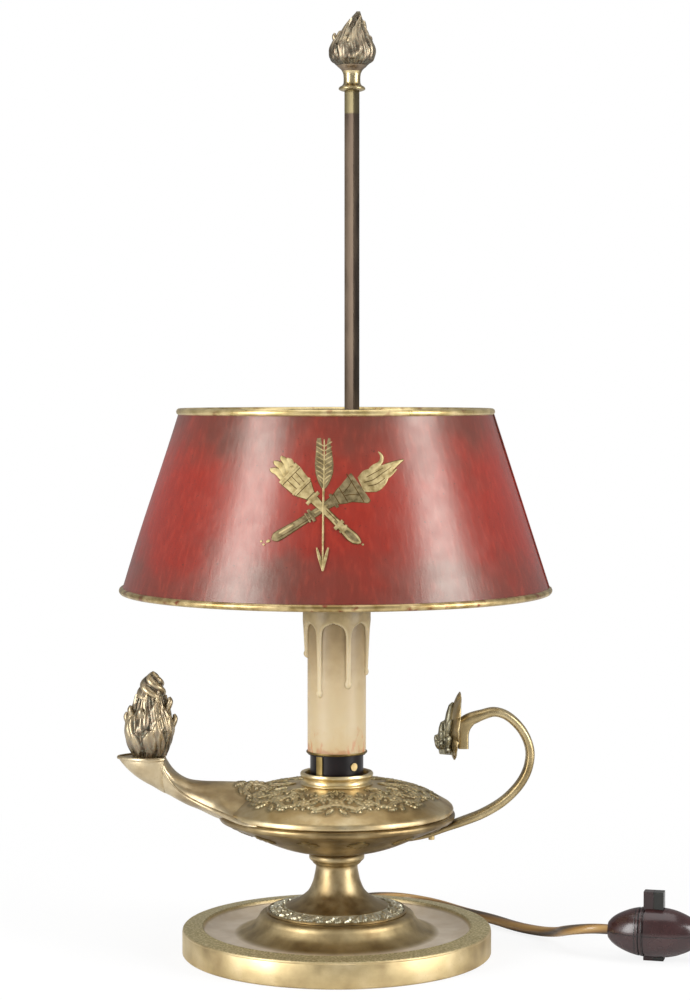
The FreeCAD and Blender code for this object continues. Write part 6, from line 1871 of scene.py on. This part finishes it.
class LAMP_OT_stage(LampOperator, bpy.types.Operator):
    """Sets the camera, floor, room and lights"""
    bl_idname = "lamp.stage"
    bl_label = "Stage"

    def build(self, look):
        make_stage(look)


class LAMP_OT_cord(LampOperator, bpy.types.Operator):
    """Lays the cord from the foot to the plug"""
    bl_idname = "lamp.cord"
    bl_label = "Cord"

    def build(self, look):
        make_cord()


class LAMP_OT_foot(LampOperator, bpy.types.Operator):
    """Turns the foot, the stem and its knop"""
    bl_idname = "lamp.foot"
    bl_label = "Foot and stem"

    def build(self, look):
        make_foot(FINISHES)
        make_stem(FINISHES)
        make_knop(FINISHES)


class LAMP_OT_bowl(LampOperator, bpy.types.Operator):
    """Turns the bowl and raises its ornament"""
    bl_idname = "lamp.bowl"
    bl_label = "Bowl"

    def build(self, look):
        make_bowl(FINISHES, look)


class LAMP_OT_spout(LampOperator, bpy.types.Operator):
    """Shapes the spout"""
    bl_idname = "lamp.spout"
    bl_label = "Spout"

    def build(self, look):
        make_spout(FINISHES, look)


class LAMP_OT_flames(LampOperator, bpy.types.Operator):
    """Casts the spout's flame and the finial"""
    bl_idname = "lamp.flames"
    bl_label = "Flames"

    def build(self, look):
        make_spout_flame(FINISHES)
        make_finial(FINISHES)


class LAMP_OT_handle(LampOperator, bpy.types.Operator):
    """Bends the handle and sets its rosette"""
    bl_idname = "lamp.handle"
    bl_label = "Handle and rosette"

    def build(self, look):
        make_handle(FINISHES)
        make_rosette(FINISHES)


class LAMP_OT_candle(LampOperator, bpy.types.Operator):
    """Makes the candle tube and the gallery that holds it"""
    bl_idname = "lamp.candle"
    bl_label = "Candle"

    def build(self, look):
        make_cup(FINISHES)
        make_candle(FINISHES)


class LAMP_OT_shade(LampOperator, bpy.types.Operator):
    """Rolls the shade and its gilt rims"""
    bl_idname = "lamp.shade"
    bl_label = "Shade"

    def build(self, look):
        make_shade(FINISHES, look)


class LAMP_OT_trophy(LampOperator, bpy.types.Operator):
    """Paints the arrow, quiver and torch on the shade"""
    bl_idname = "lamp.trophy"
    bl_label = "Painted trophy"

    def build(self, look):
        make_trophy(FINISHES)


class LAMP_OT_rod(LampOperator, bpy.types.Operator):
    """Draws the square rod"""
    bl_idname = "lamp.rod"
    bl_label = "Rod"

    def build(self, look):
        make_rod(FINISHES)


class LAMP_OT_fittings(LampOperator, bpy.types.Operator):
    """Finishes the pieces that keep their exact solids"""
    bl_idname = "lamp.fittings"
    bl_label = "Fittings"

    def build(self, look):
        dress_fittings(FINISHES)


OPERATORS = (LAMP_OT_stage, LAMP_OT_cord, LAMP_OT_foot, LAMP_OT_bowl, LAMP_OT_spout, LAMP_OT_flames,
             LAMP_OT_handle, LAMP_OT_candle, LAMP_OT_shade, LAMP_OT_trophy, LAMP_OT_rod, LAMP_OT_fittings)


class LAMP_PT_build(bpy.types.Panel):
    """The lamp's steps and settings in the 3D view's sidebar"""
    bl_idname = "LAMP_PT_build"
    bl_label = "Bouillotte lamp"
    bl_space_type = "VIEW_3D"
    bl_region_type = "UI"
    bl_category = "Lamp"

    def draw(self, context):
        look = context.scene.lamp_look
        for name in ("camera_pitch", "camera_lens", "relief", "dents"):
            self.layout.prop(look, name)
        for operator in OPERATORS:
            self.layout.operator(operator.bl_idname)


CLASSES = (LampLook, *OPERATORS, LAMP_PT_build)
FINISHES = {}


def register():
    for made in CLASSES:
        bpy.utils.register_class(made)
    bpy.types.Scene.lamp_look = bpy.props.PointerProperty(type=LampLook)


def unregister():
    del bpy.types.Scene.lamp_look
    for made in reversed(CLASSES):
        bpy.utils.unregister_class(made)


def main():
    register()
    FINISHES.update(make_finishes())
    for operator in OPERATORS:
        group, name = operator.bl_idname.split(".")
        getattr(getattr(bpy.ops, group), name)()


if __name__ == "__main__":
    main()
